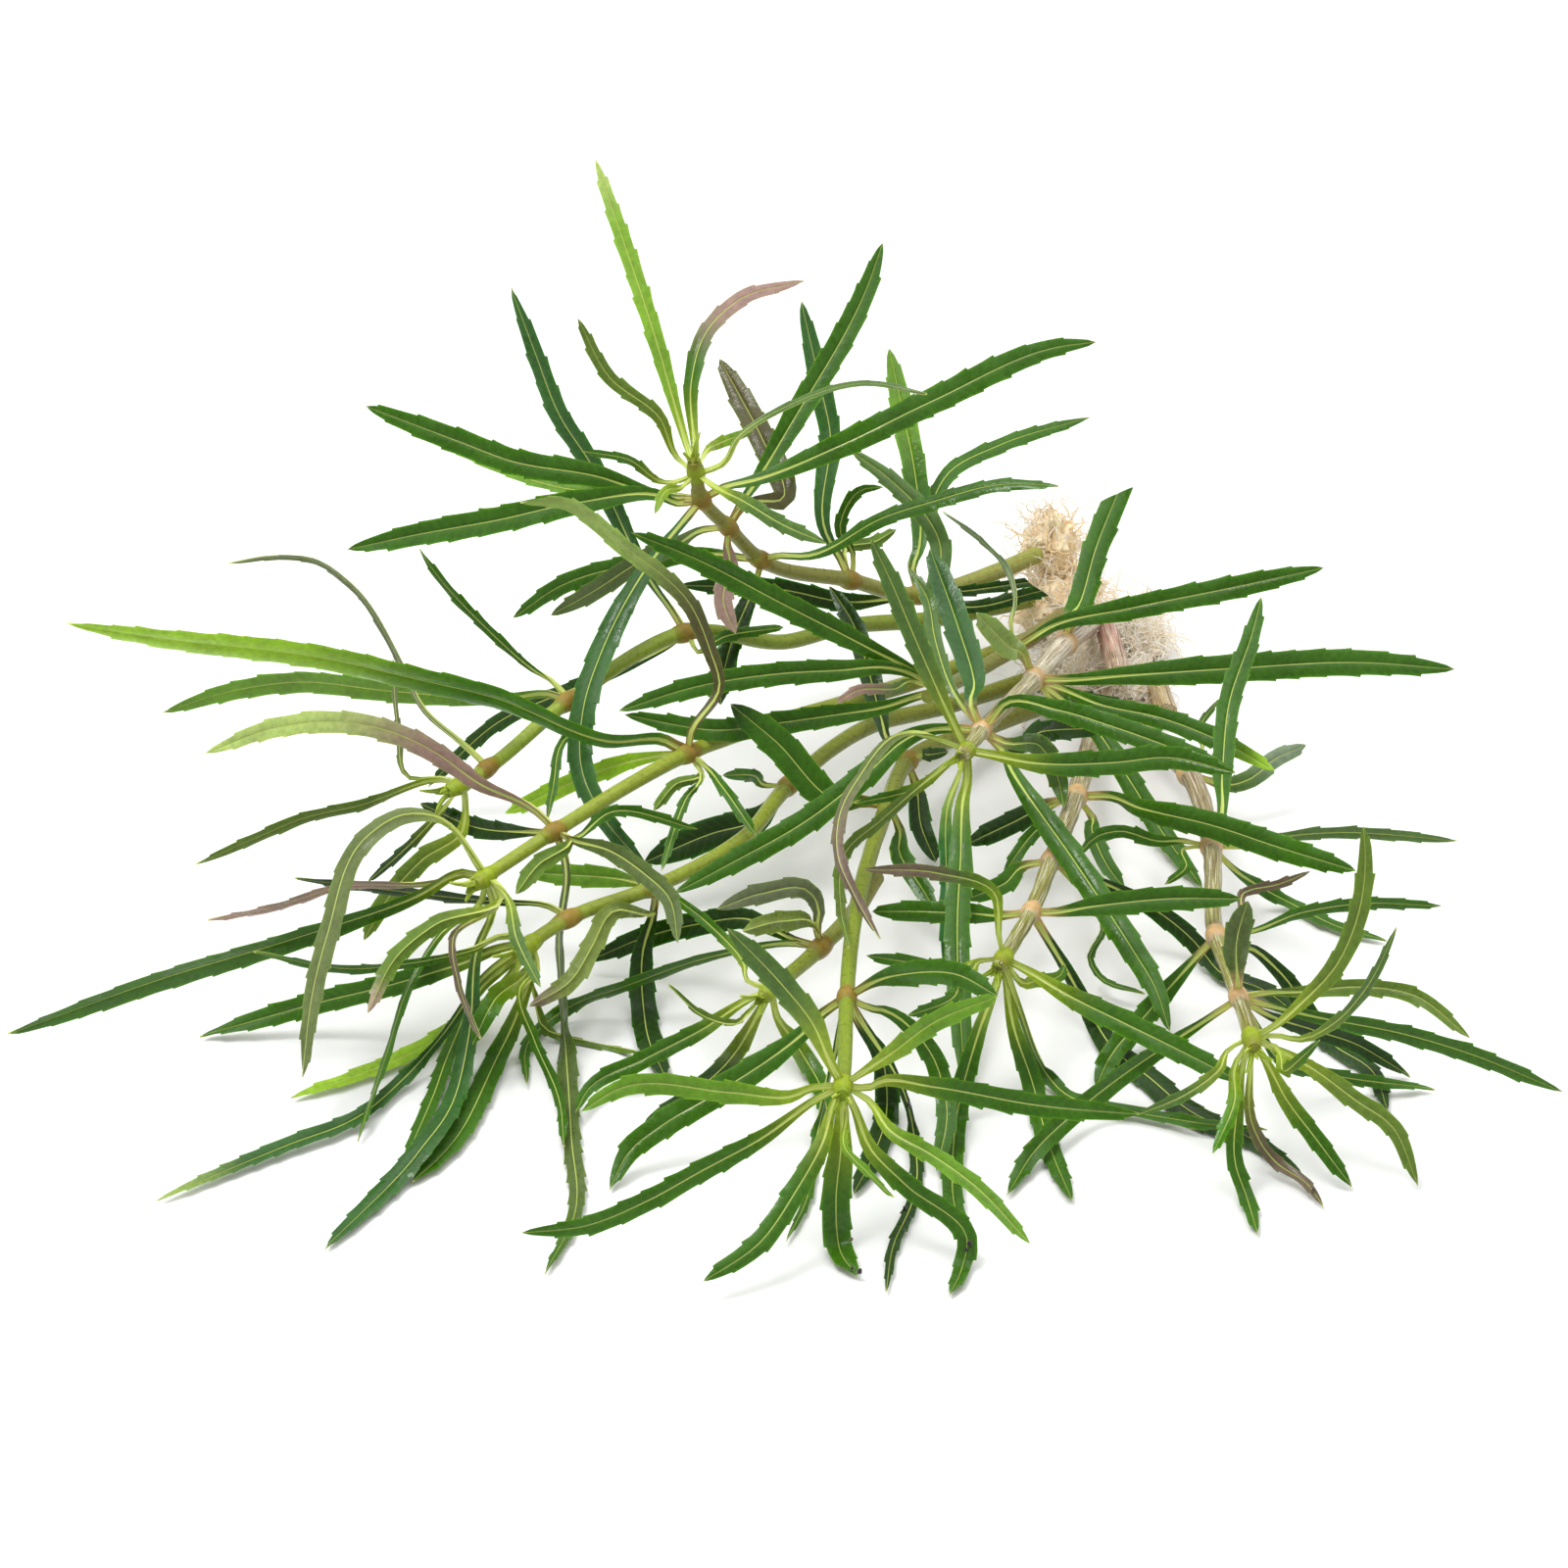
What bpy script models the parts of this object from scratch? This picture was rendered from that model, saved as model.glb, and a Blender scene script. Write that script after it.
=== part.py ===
"""A rooted bunch of a narrow-leaved aquarium stem plant, lying on a flat surface.

Nine stems spring from one root crown, and one side shoot branches off above them. Each stem
carries whorls of long narrow leaves on swollen node rings. Units are metres, +Z is up.

The routes of stems and leaves were read by eye from one photograph. They are written as picture
points (pixels) with a depth towards the viewer (millimetres), and place() turns them into space.
"""

import math

import bmesh
import bpy
import numpy as np
from mathutils import Matrix, Vector, noise

MM = 0.001
FINE_STEPS = 24  # of a smooth curve, for each point that it runs through

# Real sizes
LEAF_SLENDERNESS = 0.062  # full width of a blade over its length
LEAF_KEEL = 0.75 * MM  # thickness of a blade at its midrib
LEAF_BASE_WIDTH = 1.3 * MM
LEAF_BASE_THICKNESS = 0.6 * MM
LEAST_STEP = 0.1 * MM  # between two sections of a blade
BASE_RUN = 1.8 * MM  # how far a blade runs straight out of its ring
BASE_RISE = 0.3 * MM
ROUTE_START = 4 * MM  # picture points of a leaf nearer to its ring than this are passed over
LEAST_HEIGHT = 0.4 * MM  # of a midline above the surface
LYING_HEIGHT = 5 * MM  # below this a blade turns flat
STEM_OLD_RADIUS = 1.75 * MM
STEM_RADIUS = 1.4 * MM
STEM_TIP_RADIUS = 1.0 * MM
RING_GAP = 0.35 * MM  # between a stem and the node ring round it
RING_SECTION = 0.9 * MM  # from the middle of a ring's section to its edge
RING_SIDES = 6
SOCKET_GAP = 0.4 * MM  # between the roots and each stem that springs from them
SAME_POINT = 0.01 * MM

# Sections of the blade solids
KEEL_ABOVE = 0.3  # share of a blade's thickness above its midline
KEEL_STATIONS = 8  # over which the keel grows to its full depth
TWIST_WEIGHT = 0.3  # how much a twist counts beside a bend
LENGTH_WEIGHT = 0.02
SPAN_EFFORT = 0.9  # bend, twist and length that one span of a blade takes up
FEWEST_SPANS = 2
MOST_SPANS = 5

# Roughness of the root lumps
LUMP_ROUGHNESS = 0.22
LUMP_GRAIN = 1.7
LUMP_SHIFT = 3.1  # so that no two lumps are rough in the same way

# The view that the picture points belong to
PICTURE_MIDDLE = 800.0
PIXEL = MM / 6.0  # size of a picture point at the reference place
VIEW_DISTANCE = 950 * MM
VIEW_ELEVATION = math.radians(30)
VIEW_RIGHT = np.array([1.0, 0.0, 0.0])
VIEW_UP = np.array([0.0, math.sin(VIEW_ELEVATION), math.cos(VIEW_ELEVATION)])
VIEW_TOWARD = np.array([0.0, -math.cos(VIEW_ELEVATION), math.sin(VIEW_ELEVATION)])
REFERENCE = np.array([-0.3, -4.8, 28.87]) * MM  # what the middle of the picture shows

# Widths of the blades
LEAST_FIT = 0.5  # the least share of its width that a blade keeps
FIT_REACH = 3  # stations on each side that this share is averaged over
FIT_MEAN = np.full(2 * FIT_REACH + 1, 1 / (2 * FIT_REACH + 1))

# Keeping the blades apart
STATIONS = 33  # points followed along each blade
CELL = 5.0  # picture points
BLADE_HALF = 0.5 * MM
CLEARANCE = 0.65 * MM
ROUNDS = 60
PUSH = 0.35  # share of a lack of room that one round makes up for
TURN_EVERY = 6  # rounds between two turnings of the blades
ROOTED = 0.22  # share of a blade that its whorl holds in place
ACROSS = np.linspace(-1.0, 1.0, 7)  # places looked at across a blade or stem
ROWS_ALONG = 3 * STATIONS  # places looked at along a blade
STEM_ROWS = 160  # places looked at along a stem
SOFT_REACH = 6  # stations over which a push is smoothed
SOFT_SHAPE = np.exp(-0.5 * (np.arange(-SOFT_REACH, SOFT_REACH + 1) / 2.4) ** 2)
KIN_STATIONS = 6  # so near their base, blades of one whorl may touch
HOME_STATIONS = 4  # so near its base, a blade may touch its own stem
CELL_LINES = 4096  # more than the picture has cells from top to bottom
MOST_OWNERS = 512  # more than there are blades and stems
MOST_SHARING = 9  # entries of one cell that are compared with each other

# Stems as (x, y, depth) from the roots to the growing tip
STEMS = {
    "stem_a": [
        (1058, 566, -100), (1020, 582, -92), (937, 607, -78), (867, 592, -62),
        (776, 571, -42), (743, 538, -32), (716, 509, -24), (710, 482, -18), (708, 470, -16),
    ],
    "stem_b": [
        (1050, 612, -98), (950, 632, -75), (860, 640, -55), (800, 655, -42),
        (698, 646, -25), (579, 716, -12), (496, 785, 0), (470, 801, 4), (458, 806, 5),
    ],
    "stem_c": [
        (1052, 652, -92), (950, 690, -66), (870, 715, -46), (800, 735, -32),
        (702, 769, -8), (565, 849, 15), (494, 896, 24), (484, 903, 26),
    ],
    "stem_d": [
        (1062, 690, -88), (960, 722, -64), (890, 740, -46), (804, 802, -20),
        (755, 858, -2), (668, 905, 12), (579, 938, 20), (540, 964, 26), (532, 971, 27),
    ],
    "stem_e": [
        (1118, 632, -88), (1087, 657, -70), (1055, 693, -46), (1002, 745, -12),
        (986, 766, 2), (981, 772, 6),
    ],
    "stem_f": [
        (1085, 712, -80), (1000, 745, -62), (926, 777, -36), (906, 821, -16),
        (870, 950, 28), (864, 1018, 48), (860, 1108, 74), (859, 1118, 76),
    ],
    "stem_g": [
        (1130, 712, -80), (1115, 752, -60), (1098, 813, -28), (1073, 878, 0),
        (1052, 931, 20), (1024, 978, 38), (1018, 988, 41),
    ],
    "stem_h": [
        (1152, 724, -77), (1182, 760, -58), (1213, 790, -40), (1236, 864, -10),
        (1241, 955, 24), (1264, 1018, 44), (1277, 1060, 56), (1279, 1070, 58),
    ],
    "stem_j": [(893, 895, 2), (868, 935, 12), (837, 967, 18), (786, 1011, 30), (778, 1018, 32)],
    "stem_l": [
        (1085, 628, -92), (1035, 662, -68), (990, 688, -46), (958, 705, -28), (946, 711, -23),
    ],
}
OLD_STEMS = ("stem_e", "stem_g", "stem_h")
SIDE_SHOOTS = ("stem_j",)

# Stubs of stems that were cut, as (x, y, depth) from the roots outwards
STUBS = {
    "stub_pink": [(1130, 645, -86), (1138, 672, -76), (1142, 690, -66)],
    "stub_tan": [(1178, 690, -86), (1184, 710, -79), (1190, 728, -73)],
}

# The root mass as lumps: (x, y, depth), then half its width, height and depth in millimetres
ROOT_LUMPS = [
    ((1072, 556, -106), (6.5, 8.0, 8.0)),
    ((1082, 618, -104), (10.5, 7.5, 10.0)),
    ((1122, 652, -98), (10.0, 8.5, 9.5)),
    ((1160, 660, -100), (8.5, 9.5, 9.0)),
    ((1100, 690, -92), (12.0, 10.5, 9.0)),
    ((1092, 706, -83), (6.5, 5.0, 6.5)),
    ((1148, 708, -85), (7.0, 5.0, 10.5)),
]


def leaf(width, out, *through, cut=False):
    """A leaf: its seen width in picture points, how far its tip comes forward in millimetres,
    and the picture points it runs through, from near its base to its tip."""
    return {"width": width, "out": out, "through": through, "cut": cut}


# Whorls as (stem, which of its points, leaves)
WHORLS = {
    "whorl_a_tip": ("stem_a", 7, [
        leaf(22, -5, (667, 339), (607, 161)),
        leaf(15, 12, (672, 425), (622, 385), (589, 324)),
        leaf(15, -15, (706, 389), (721, 339), (755, 306), (820, 287)),
        leaf(8, 25, (755, 445), (804, 415), (880, 392), (946, 402)),
        leaf(10, 20, (638, 468), (595, 461)),
        leaf(12, -15, (735, 452), (768, 440)),
        leaf(10, 12, (680, 500), (668, 525)),
        leaf(16, 30, (758, 511), (798, 535), (844, 555)),
    ]),
    "whorl_a4": ("stem_a", 6, [
        leaf(27, 8, (605, 485), (520, 470), (472, 452), (372, 414)),
        leaf(14, -20, (572, 498), (454, 457)),
        leaf(27, 20, (672, 506), (589, 513), (506, 531), (423, 546), (353, 561)),
        leaf(28, 0, (771, 490), (857, 455), (952, 409), (1085, 353), (1120, 349)),
        leaf(26, 30, (658, 583), (615, 663), (595, 726), (594, 785), (615, 832), (663, 888)),
    ]),
    "whorl_a3": ("stem_a", 5, [
        leaf(26, -8, (768, 498), (804, 438), (886, 290), (901, 247)),
        leaf(22, -28, (692, 555), (652, 574), (605, 604), (562, 628)),
        leaf(20, 8, (745, 571), (738, 614), (751, 647)),
        leaf(23, -22, (799, 508), (778, 448), (757, 408), (734, 366)),
    ]),
    "whorl_a2": ("stem_a", 4, [
        leaf(22, -18, (738, 566), (652, 575), (572, 598), (523, 631)),
        leaf(17, 15, (820, 568), (903, 528), (953, 512), (1019, 495), (1080, 496)),
        leaf(22, 10, (765, 610), (750, 645), (738, 690), (735, 720)),
    ]),
    "whorl_a1": ("stem_a", 3, [
        leaf(17, -10, (844, 545), (847, 438), (837, 392), (818, 307)),
        leaf(13, 12, (857, 540), (879, 500), (902, 497)),
        leaf(14, -18, (895, 552), (915, 540)),
    ]),
    "whorl_a0": ("stem_a", 2, [
        leaf(22, 18, (860, 614), (800, 602), (692, 597)),
        leaf(18, -12, (938, 560), (933, 479), (923, 429), (907, 355)),
        leaf(18, -26, (942, 545), (969, 482), (1019, 455), (1112, 426)),
        leaf(14, 10, (980, 619), (1063, 603), cut=True),
        leaf(11, -4, (985, 603), (1050, 594), cut=True),
    ]),
    "whorl_l1": ("stem_l", 3, [
        leaf(22, -18, (951, 624), (959, 555), (903, 485), (868, 460)),
        leaf(26, 22, (884, 660), (800, 617), (705, 568), (643, 543)),
        leaf(24, 24, (906, 681), (856, 684), (800, 687), (705, 702), (630, 726)),
        leaf(24, 12, (900, 722), (856, 729), (800, 737), (738, 745), (636, 729)),
        leaf(12, 20, (912, 703), (873, 705), (852, 719)),
    ]),
    "whorl_l0": ("stem_l", 1, [
        leaf(6, -5, (1036, 611), (1032, 588), (1006, 555), (962, 522)),
        leaf(26, 4, (1069, 641), (1152, 621), (1251, 601), (1352, 579)),
    ]),
    "whorl_e0": ("stem_e", 1, [
        leaf(28, -14, (1102, 615), (1118, 560), (1140, 504), cut=True),
    ]),
    "whorl_e1": ("stem_e", 2, [
        leaf(30, 8, (1152, 689), (1259, 682), (1387, 676), (1486, 683)),
        leaf(25, 16, (1030, 660), (996, 625)),
        leaf(22, 20, (1120, 718), (1186, 733), (1247, 757), (1302, 787)),
        leaf(14, -20, (1096, 711), (1154, 720)),
        leaf(23, 14, (1110, 735), (1150, 792), (1180, 840), (1227, 907)),
    ]),
    "whorl_e2": ("stem_e", 3, [
        leaf(29, -20, (994, 697), (977, 638), (949, 560)),
        leaf(15, -15, (954, 652), (946, 610), (926, 578)),
        leaf(24, 25, (1024, 719), (1081, 725), (1137, 742), (1261, 788)),
        leaf(22, -30, (1065, 746), (1130, 743)),
        leaf(27, 38, (1033, 787), (1095, 877), (1157, 971), (1178, 1006), (1194, 1054)),
        leaf(26, 32, (926, 753), (884, 790), (828, 834), (738, 885), (687, 912)),
        leaf(22, -10, (1062, 762), (1078, 790), (1086, 825)),
    ]),
    "whorl_e_tip": ("stem_e", 4, [
        leaf(22, 12, (965, 722), (940, 666), (901, 576), (888, 550)),
        leaf(25, 20, (1052, 778), (1137, 778), (1193, 773), (1262, 789)),
        leaf(25, 30, (982, 821), (980, 877), (977, 933), (984, 1108)),
        leaf(13, 6, (968, 820), (966, 900), (964, 989)),
        leaf(12, -12, (935, 804), (873, 820)),
        leaf(13, 22, (898, 837), (862, 870), (857, 925), (866, 968)),
        leaf(16, 36, (912, 753), (879, 792), (859, 829), (856, 871), (873, 913), (898, 958)),
    ]),
    "whorl_f0": ("stem_f", 2, [
        leaf(22, -15, (900, 735), (885, 680), (870, 635), (846, 598)),
        leaf(22, 5, (940, 843), (955, 880)),
        leaf(14, 14, (945, 770), (968, 767)),
    ]),
    "whorl_f1": ("stem_f", 3, [
        leaf(24, 6, (860, 818), (790, 755), (745, 718)),
        leaf(20, 12, (918, 871), (940, 905), (957, 933)),
    ]),
    "whorl_f2": ("stem_f", 5, [
        leaf(24, 22, (923, 994), (975, 994), (1019, 1017)),
        leaf(27, 6, (817, 1056), (732, 1115), (673, 1150), (644, 1173), (622, 1214)),
        leaf(20, -10, (900, 1030), (950, 1075), (965, 1120), (956, 1196)),
        leaf(24, -22, (900, 1080), (905, 1130), (893, 1175), (871, 1219)),
        leaf(6, -14, (835, 1150), (820, 1232), (802, 1267)),
        leaf(11, -8, (925, 1125), (934, 1173), (931, 1226), (911, 1273), (904, 1320)),
    ]),
    "whorl_f_tip": ("stem_f", 6, [
        leaf(24, 10, (829, 1044), (799, 1006), (742, 947)),
        leaf(19, 14, (908, 1076), (952, 1044), (1019, 1016)),
        leaf(20, 16, (805, 1119), (747, 1115), (629, 1112), (592, 1135)),
        leaf(21, 10, (840, 1164), (811, 1217), (776, 1267), (717, 1308)),
        leaf(17, 18, (908, 1153), (952, 1179), (996, 1211), (1052, 1270)),
        leaf(8, 15, (864, 1173), (887, 1197), (912, 1222)),
        leaf(20, 0, (887, 1170), (923, 1208), (987, 1267), (981, 1296), (969, 1321)),
        leaf(27, -5, (858, 1173), (853, 1225), (857, 1276), (875, 1302)),
        leaf(20, 6, (776, 1162), (717, 1194), (659, 1226), (600, 1250), (531, 1258)),
        leaf(22, -12, (899, 1103), (952, 1109), (1060, 1128), (1162, 1137)),
    ]),
    "whorl_j1": ("stem_j", 2, [
        leaf(13, -5, (811, 965), (741, 972), (637, 1006), (578, 1029), (545, 1056), (537, 1108)),
        leaf(24, -18, (758, 937), (717, 942), (659, 956), (600, 981)),
        leaf(15, 12, (836, 930), (826, 910), (776, 912), (731, 928)),
        leaf(16, 20, (800, 940), (758, 950)),
    ]),
    "whorl_j_tip": ("stem_j", 3, [
        leaf(18, 5, (717, 1050), (659, 1080), (600, 1112), (587, 1136)),
        leaf(22, -15, (747, 1079), (708, 1115), (657, 1147)),
        leaf(20, -12, (812, 1065), (838, 1110), (845, 1150)),
        leaf(7, 10, (770, 1035), (747, 1044), (723, 1038), (682, 1005)),
        leaf(12, -20, (760, 985), (720, 940), (684, 912)),
    ]),
    "whorl_g0": ("stem_g", 2, [
        leaf(24, 6, (1081, 826), (1038, 837), (985, 862)),
        leaf(15, 16, (1070, 834), (1050, 855), (1023, 893)),
        leaf(18, 12, (1114, 846), (1131, 885), (1148, 907)),
        leaf(28, 48, (1165, 825), (1240, 843), (1300, 863), (1385, 889)),
    ]),
    "whorl_g1": ("stem_g", 3, [
        leaf(20, 10, (1024, 902), (985, 918)),
        leaf(20, -4, (1125, 900), (1221, 963), (1244, 992), (1286, 1009), (1340, 1051)),
        leaf(7, 10, (1125, 948), (1111, 979), (1122, 998), (1168, 1014)),
    ]),
    "whorl_g2": ("stem_g", 4, [
        leaf(24, 6, (1114, 925), (1194, 917), (1267, 917)),
        leaf(22, -12, (990, 932), (937, 930), (890, 930)),
        leaf(23, -5, (1087, 987), (1135, 1069), (1173, 1100), (1221, 1138), (1275, 1161), (1330, 1200)),
    ]),
    "whorl_g_tip": ("stem_g", 5, [
        leaf(14, 8, (1028, 942), (1015, 912), (957, 891), (880, 887)),
        leaf(14, -12, (1060, 1000), (1082, 995), (1087, 984)),
        leaf(24, 14, (1087, 1014), (1141, 1041), (1194, 1067), (1269, 1105)),
        leaf(21, -12, (1034, 1046), (1052, 1100), (1068, 1161), (1094, 1226)),
        leaf(9, -18, (1043, 1035), (1060, 1081), (1082, 1113), (1151, 1134), (1293, 1153)),
        leaf(15, 12, (990, 991), (923, 981), (883, 975)),
        leaf(14, 22, (970, 1020), (925, 1037)),
        leaf(21, 8, (1000, 1050), (978, 1130), (972, 1188), (976, 1238), (987, 1265)),
    ]),
    "whorl_h0": ("stem_h", 2, [
        leaf(20, -5, (1250, 801), (1275, 795), (1300, 775), (1333, 760)),
        leaf(8, -10, (1222, 745), (1244, 713)),
    ]),
    "whorl_h1": ("stem_h", 3, [
        leaf(14, 12, (1180, 858), (1140, 848), (1115, 856), (1100, 875)),
        leaf(13, -10, (1306, 854), (1370, 849), (1427, 852), (1487, 858)),
        leaf(17, -22, (1286, 905), (1328, 928), (1370, 948), (1415, 960)),
        leaf(23, -25, (1247, 791), (1254, 718), (1278, 645), (1287, 609)),
        leaf(10, 15, (1210, 885), (1188, 903)),
    ]),
    "whorl_h2": ("stem_h", 4, [
        leaf(22, -5, (1200, 1000), (1165, 1040), (1140, 1068), (1118, 1110)),
        leaf(20, -18, (1275, 967), (1306, 992), (1356, 1063), (1398, 1091), (1416, 1134)),
        leaf(10, -15, (1269, 911), (1305, 902), (1337, 889)),
        leaf(13, -8, (1275, 948), (1328, 931), (1385, 922), (1471, 924)),
    ]),
    "whorl_h3": ("stem_h", 5, [
        leaf(25, 15, (1262, 960), (1273, 919)),
        leaf(16, 12, (1328, 1012), (1385, 1007), (1441, 1015), (1501, 1060)),
        leaf(18, -6, (1328, 1034), (1441, 1057), (1497, 1074), (1595, 1114)),
        leaf(20, -5, (1200, 1060), (1114, 1121), (1068, 1161), (1028, 1219)),
        leaf(18, -20, (1340, 1051), (1385, 1066), (1439, 1099)),
        leaf(13, -18, (1311, 1085), (1356, 1096), (1464, 1112)),
    ]),
    "whorl_h_tip": ("stem_h", 6, [
        leaf(19, 5, (1328, 1023), (1362, 987), (1385, 936), (1393, 880), (1391, 842)),
        leaf(11, 10, (1328, 1060), (1362, 1043), (1393, 1009), (1425, 946)),
        leaf(12, 12, (1311, 1093), (1328, 1079), (1347, 1061)),
        leaf(18, 0, (1340, 1091), (1385, 1124), (1418, 1147), (1447, 1210)),
        leaf(18, 0, (1314, 1124), (1342, 1161), (1379, 1211)),
        leaf(16, 3, (1262, 1133), (1260, 1185), (1272, 1222), (1283, 1259)),
        leaf(13, 10, (1259, 1126), (1237, 1178)),
        leaf(12, 12, (1244, 1091), (1216, 1113), (1160, 1138)),
        leaf(12, -5, (1278, 1147), (1304, 1188), (1328, 1204), (1350, 1231)),
    ]),
    "whorl_b0": ("stem_b", 4, [
        leaf(21, -5, (668, 598), (602, 471), (572, 425), (546, 359), (522, 294)),
        leaf(12, -8, (738, 650), (800, 640)),
        leaf(18, -20, (640, 680), (580, 705), (506, 739), (455, 785), (437, 803)),
    ]),
    "whorl_b1": ("stem_b", 5, [
        leaf(11, 6, (539, 679), (499, 643), (446, 586), (428, 560)),
        leaf(10, 14, (572, 760), (565, 800), (558, 838)),
        leaf(22, -15, (520, 712), (400, 705), (298, 696), (232, 706), (166, 727)),
    ]),
    "whorl_b2": ("stem_b", 6, [
        leaf(10, 8, (429, 719), (410, 679), (357, 596), (322, 572), (282, 568), (234, 575)),
    ]),
    "whorl_b_tip": ("stem_b", 7, [
        leaf(9, -12, (416, 792), (407, 746), (401, 673)),
        leaf(12, 5, (365, 822), (308, 835), (265, 853), (200, 882)),
        leaf(20, -5, (473, 845), (430, 878), (390, 925), (371, 960)),
        leaf(10, -15, (420, 860), (375, 900)),
    ]),
    "whorl_c0": ("stem_c", 4, [
        leaf(24, 30, (622, 756), (506, 712), (423, 692), (340, 673), (149, 649), (69, 636)),
        leaf(20, -14, (650, 775), (605, 790), (515, 830)),
        leaf(12, 12, (690, 800), (667, 827)),
        leaf(10, 18, (700, 815), (675, 889)),
        leaf(12, 15, (735, 800), (772, 853)),
        leaf(18, 8, (735, 700), (725, 663), (705, 617), (638, 558), (572, 512), (531, 513)),
    ]),
    "whorl_c1": ("stem_c", 5, [
        leaf(22, 14, (489, 799), (440, 765), (398, 746), (332, 736), (282, 742), (208, 769)),
        leaf(26, 25, (622, 868), (658, 892), (682, 915), (692, 963)),
        leaf(13, 20, (571, 960), (577, 1059), (583, 1158), (586, 1241), (556, 1300)),
        leaf(20, -22, (489, 845), (429, 820)),
        leaf(18, 18, (550, 882), (527, 912)),
        leaf(12, -10, (625, 828), (712, 846)),
    ]),
    "whorl_c_tip": ("stem_c", 6, [
        leaf(21, 25, (446, 835), (414, 832), (375, 855), (335, 955), (322, 1004), (309, 1099)),
        leaf(20, 15, (423, 915), (298, 958), (166, 998), (8, 1055)),
        leaf(9, -14, (445, 900), (345, 905), (282, 925), (212, 939)),
        leaf(17, 22, (445, 943), (405, 976), (375, 1034)),
        leaf(9, 10, (448, 956), (418, 1006), (395, 1076), (365, 1165)),
        leaf(8, 20, (464, 955), (469, 1004), (490, 1060)),
        leaf(25, 12, (486, 976), (481, 1042), (468, 1109), (428, 1175), (332, 1274)),
        leaf(13, 25, (528, 960), (552, 1008)),
    ]),
    "whorl_d0": ("stem_d", 3, [
        leaf(24, 6, (770, 838), (728, 850), (657, 880)),
        leaf(14, -12, (770, 792), (738, 791)),
    ]),
    "whorl_d1": ("stem_d", 5, [
        leaf(26, -8, (656, 971), (658, 1041), (679, 1101)),
        leaf(20, 18, (624, 931), (603, 968), (583, 1000), (540, 1027)),
        leaf(22, -12, (640, 895), (537, 890)),
    ]),
    "whorl_d2": ("stem_d", 6, [
        leaf(11, -10, (511, 920), (460, 915), (375, 905), (301, 896)),
    ]),
    "whorl_d_tip": ("stem_d", 7, [
        leaf(10, 5, (478, 970), (412, 983), (362, 988), (259, 971)),
        leaf(23, -12, (462, 986), (395, 1006), (329, 1022), (204, 1058)),
        leaf(18, -22, (500, 1020), (448, 1059), (362, 1099), (297, 1120)),
        leaf(17, 5, (500, 990), (448, 1059), (362, 1142), (296, 1168), (160, 1225)),
        leaf(16, -15, (490, 1010), (462, 1066), (442, 1119), (412, 1187)),
        leaf(24, -5, (530, 1030), (508, 1078), (445, 1185), (421, 1206)),
        leaf(20, 5, (505, 1020), (482, 1066)),
        leaf(12, 8, (531, 1009), (545, 1059), (568, 1112), (576, 1170)),
        leaf(8, -20, (545, 1010), (560, 1052), (600, 1064), (655, 1074)),
    ]),
}

LEAF_GREEN = (0.035, 0.12, 0.022, 1)
STEM_OLIVE = (0.24, 0.30, 0.06, 1)
STEM_TAN = (0.42, 0.33, 0.20, 1)
ROOT_CREAM = (0.72, 0.52, 0.32, 1)


def place(x, y, depth):
    """Points in space from picture points and their depths in metres towards the viewer."""
    x, y, depth = (np.asarray(value, float)[..., None] for value in (x, y, depth))
    reach = PIXEL * (VIEW_DISTANCE - depth) / VIEW_DISTANCE
    across = (x - PICTURE_MIDDLE) * reach * VIEW_RIGHT
    upward = (PICTURE_MIDDLE - y) * reach * VIEW_UP
    return REFERENCE + across + upward + depth * VIEW_TOWARD


def seen(points):
    """Picture points and depths of points in space."""
    offset = points - REFERENCE
    depth = offset @ VIEW_TOWARD
    reach = PIXEL * (VIEW_DISTANCE - depth) / VIEW_DISTANCE
    return (
        PICTURE_MIDDLE + (offset @ VIEW_RIGHT) / reach,
        PICTURE_MIDDLE - (offset @ VIEW_UP) / reach,
        depth,
    )


def depth_at_height(y, height):
    """Depth at which the line of sight through picture row y is at this height."""
    rise = (PICTURE_MIDDLE - y) * PIXEL * VIEW_UP[2]
    return (height - REFERENCE[2] - rise) / (VIEW_TOWARD[2] - rise / VIEW_DISTANCE)


def lengths_along(points):
    return np.concatenate([[0.0], np.cumsum(np.linalg.norm(np.diff(points, axis=0), axis=1))])


def smooth(points, count):
    """Evenly spaced points on a smooth curve through the given ones."""
    points = np.asarray(points, float)
    knots = lengths_along(points)
    slopes = np.gradient(points, knots, axis=0)
    fine = np.linspace(0.0, knots[-1], FINE_STEPS * len(points))
    span = np.clip(np.searchsorted(knots, fine, side="right") - 1, 0, len(knots) - 2)
    width = knots[span + 1] - knots[span]
    part = ((fine - knots[span]) / width)[:, None]
    width = width[:, None]
    curve = (
        (1 + 2 * part) * (1 - part) ** 2 * points[span]
        + part * (1 - part) ** 2 * width * slopes[span]
        + part**2 * (3 - 2 * part) * points[span + 1]
        + part**2 * (part - 1) * width * slopes[span + 1]
    )
    along = lengths_along(curve)
    wanted = np.linspace(0.0, along[-1], count)
    return np.stack([np.interp(wanted, along, curve[:, axis]) for axis in range(3)], axis=1)


def unit(vectors):
    return vectors / np.maximum(np.linalg.norm(vectors, axis=-1, keepdims=True), 1e-12)


def eased(values):
    values = np.clip(values, 0.0, 1.0)
    return values * values * (3 - 2 * values)


def carried(direction, tangents):
    """A direction carried along a path without turning about it."""
    rows = []
    for tangent in tangents:
        direction = unit(direction - (direction @ tangent) * tangent)
        rows.append(direction)
    return np.array(rows)


def stem_points(route):
    x, y, depth = np.array(route, float).T
    return place(x, y, depth * MM)


def stem_direction(points, index):
    ends = points[min(index + 1, len(points) - 1)] - points[max(index - 1, 0)]
    return unit(ends)


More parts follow.
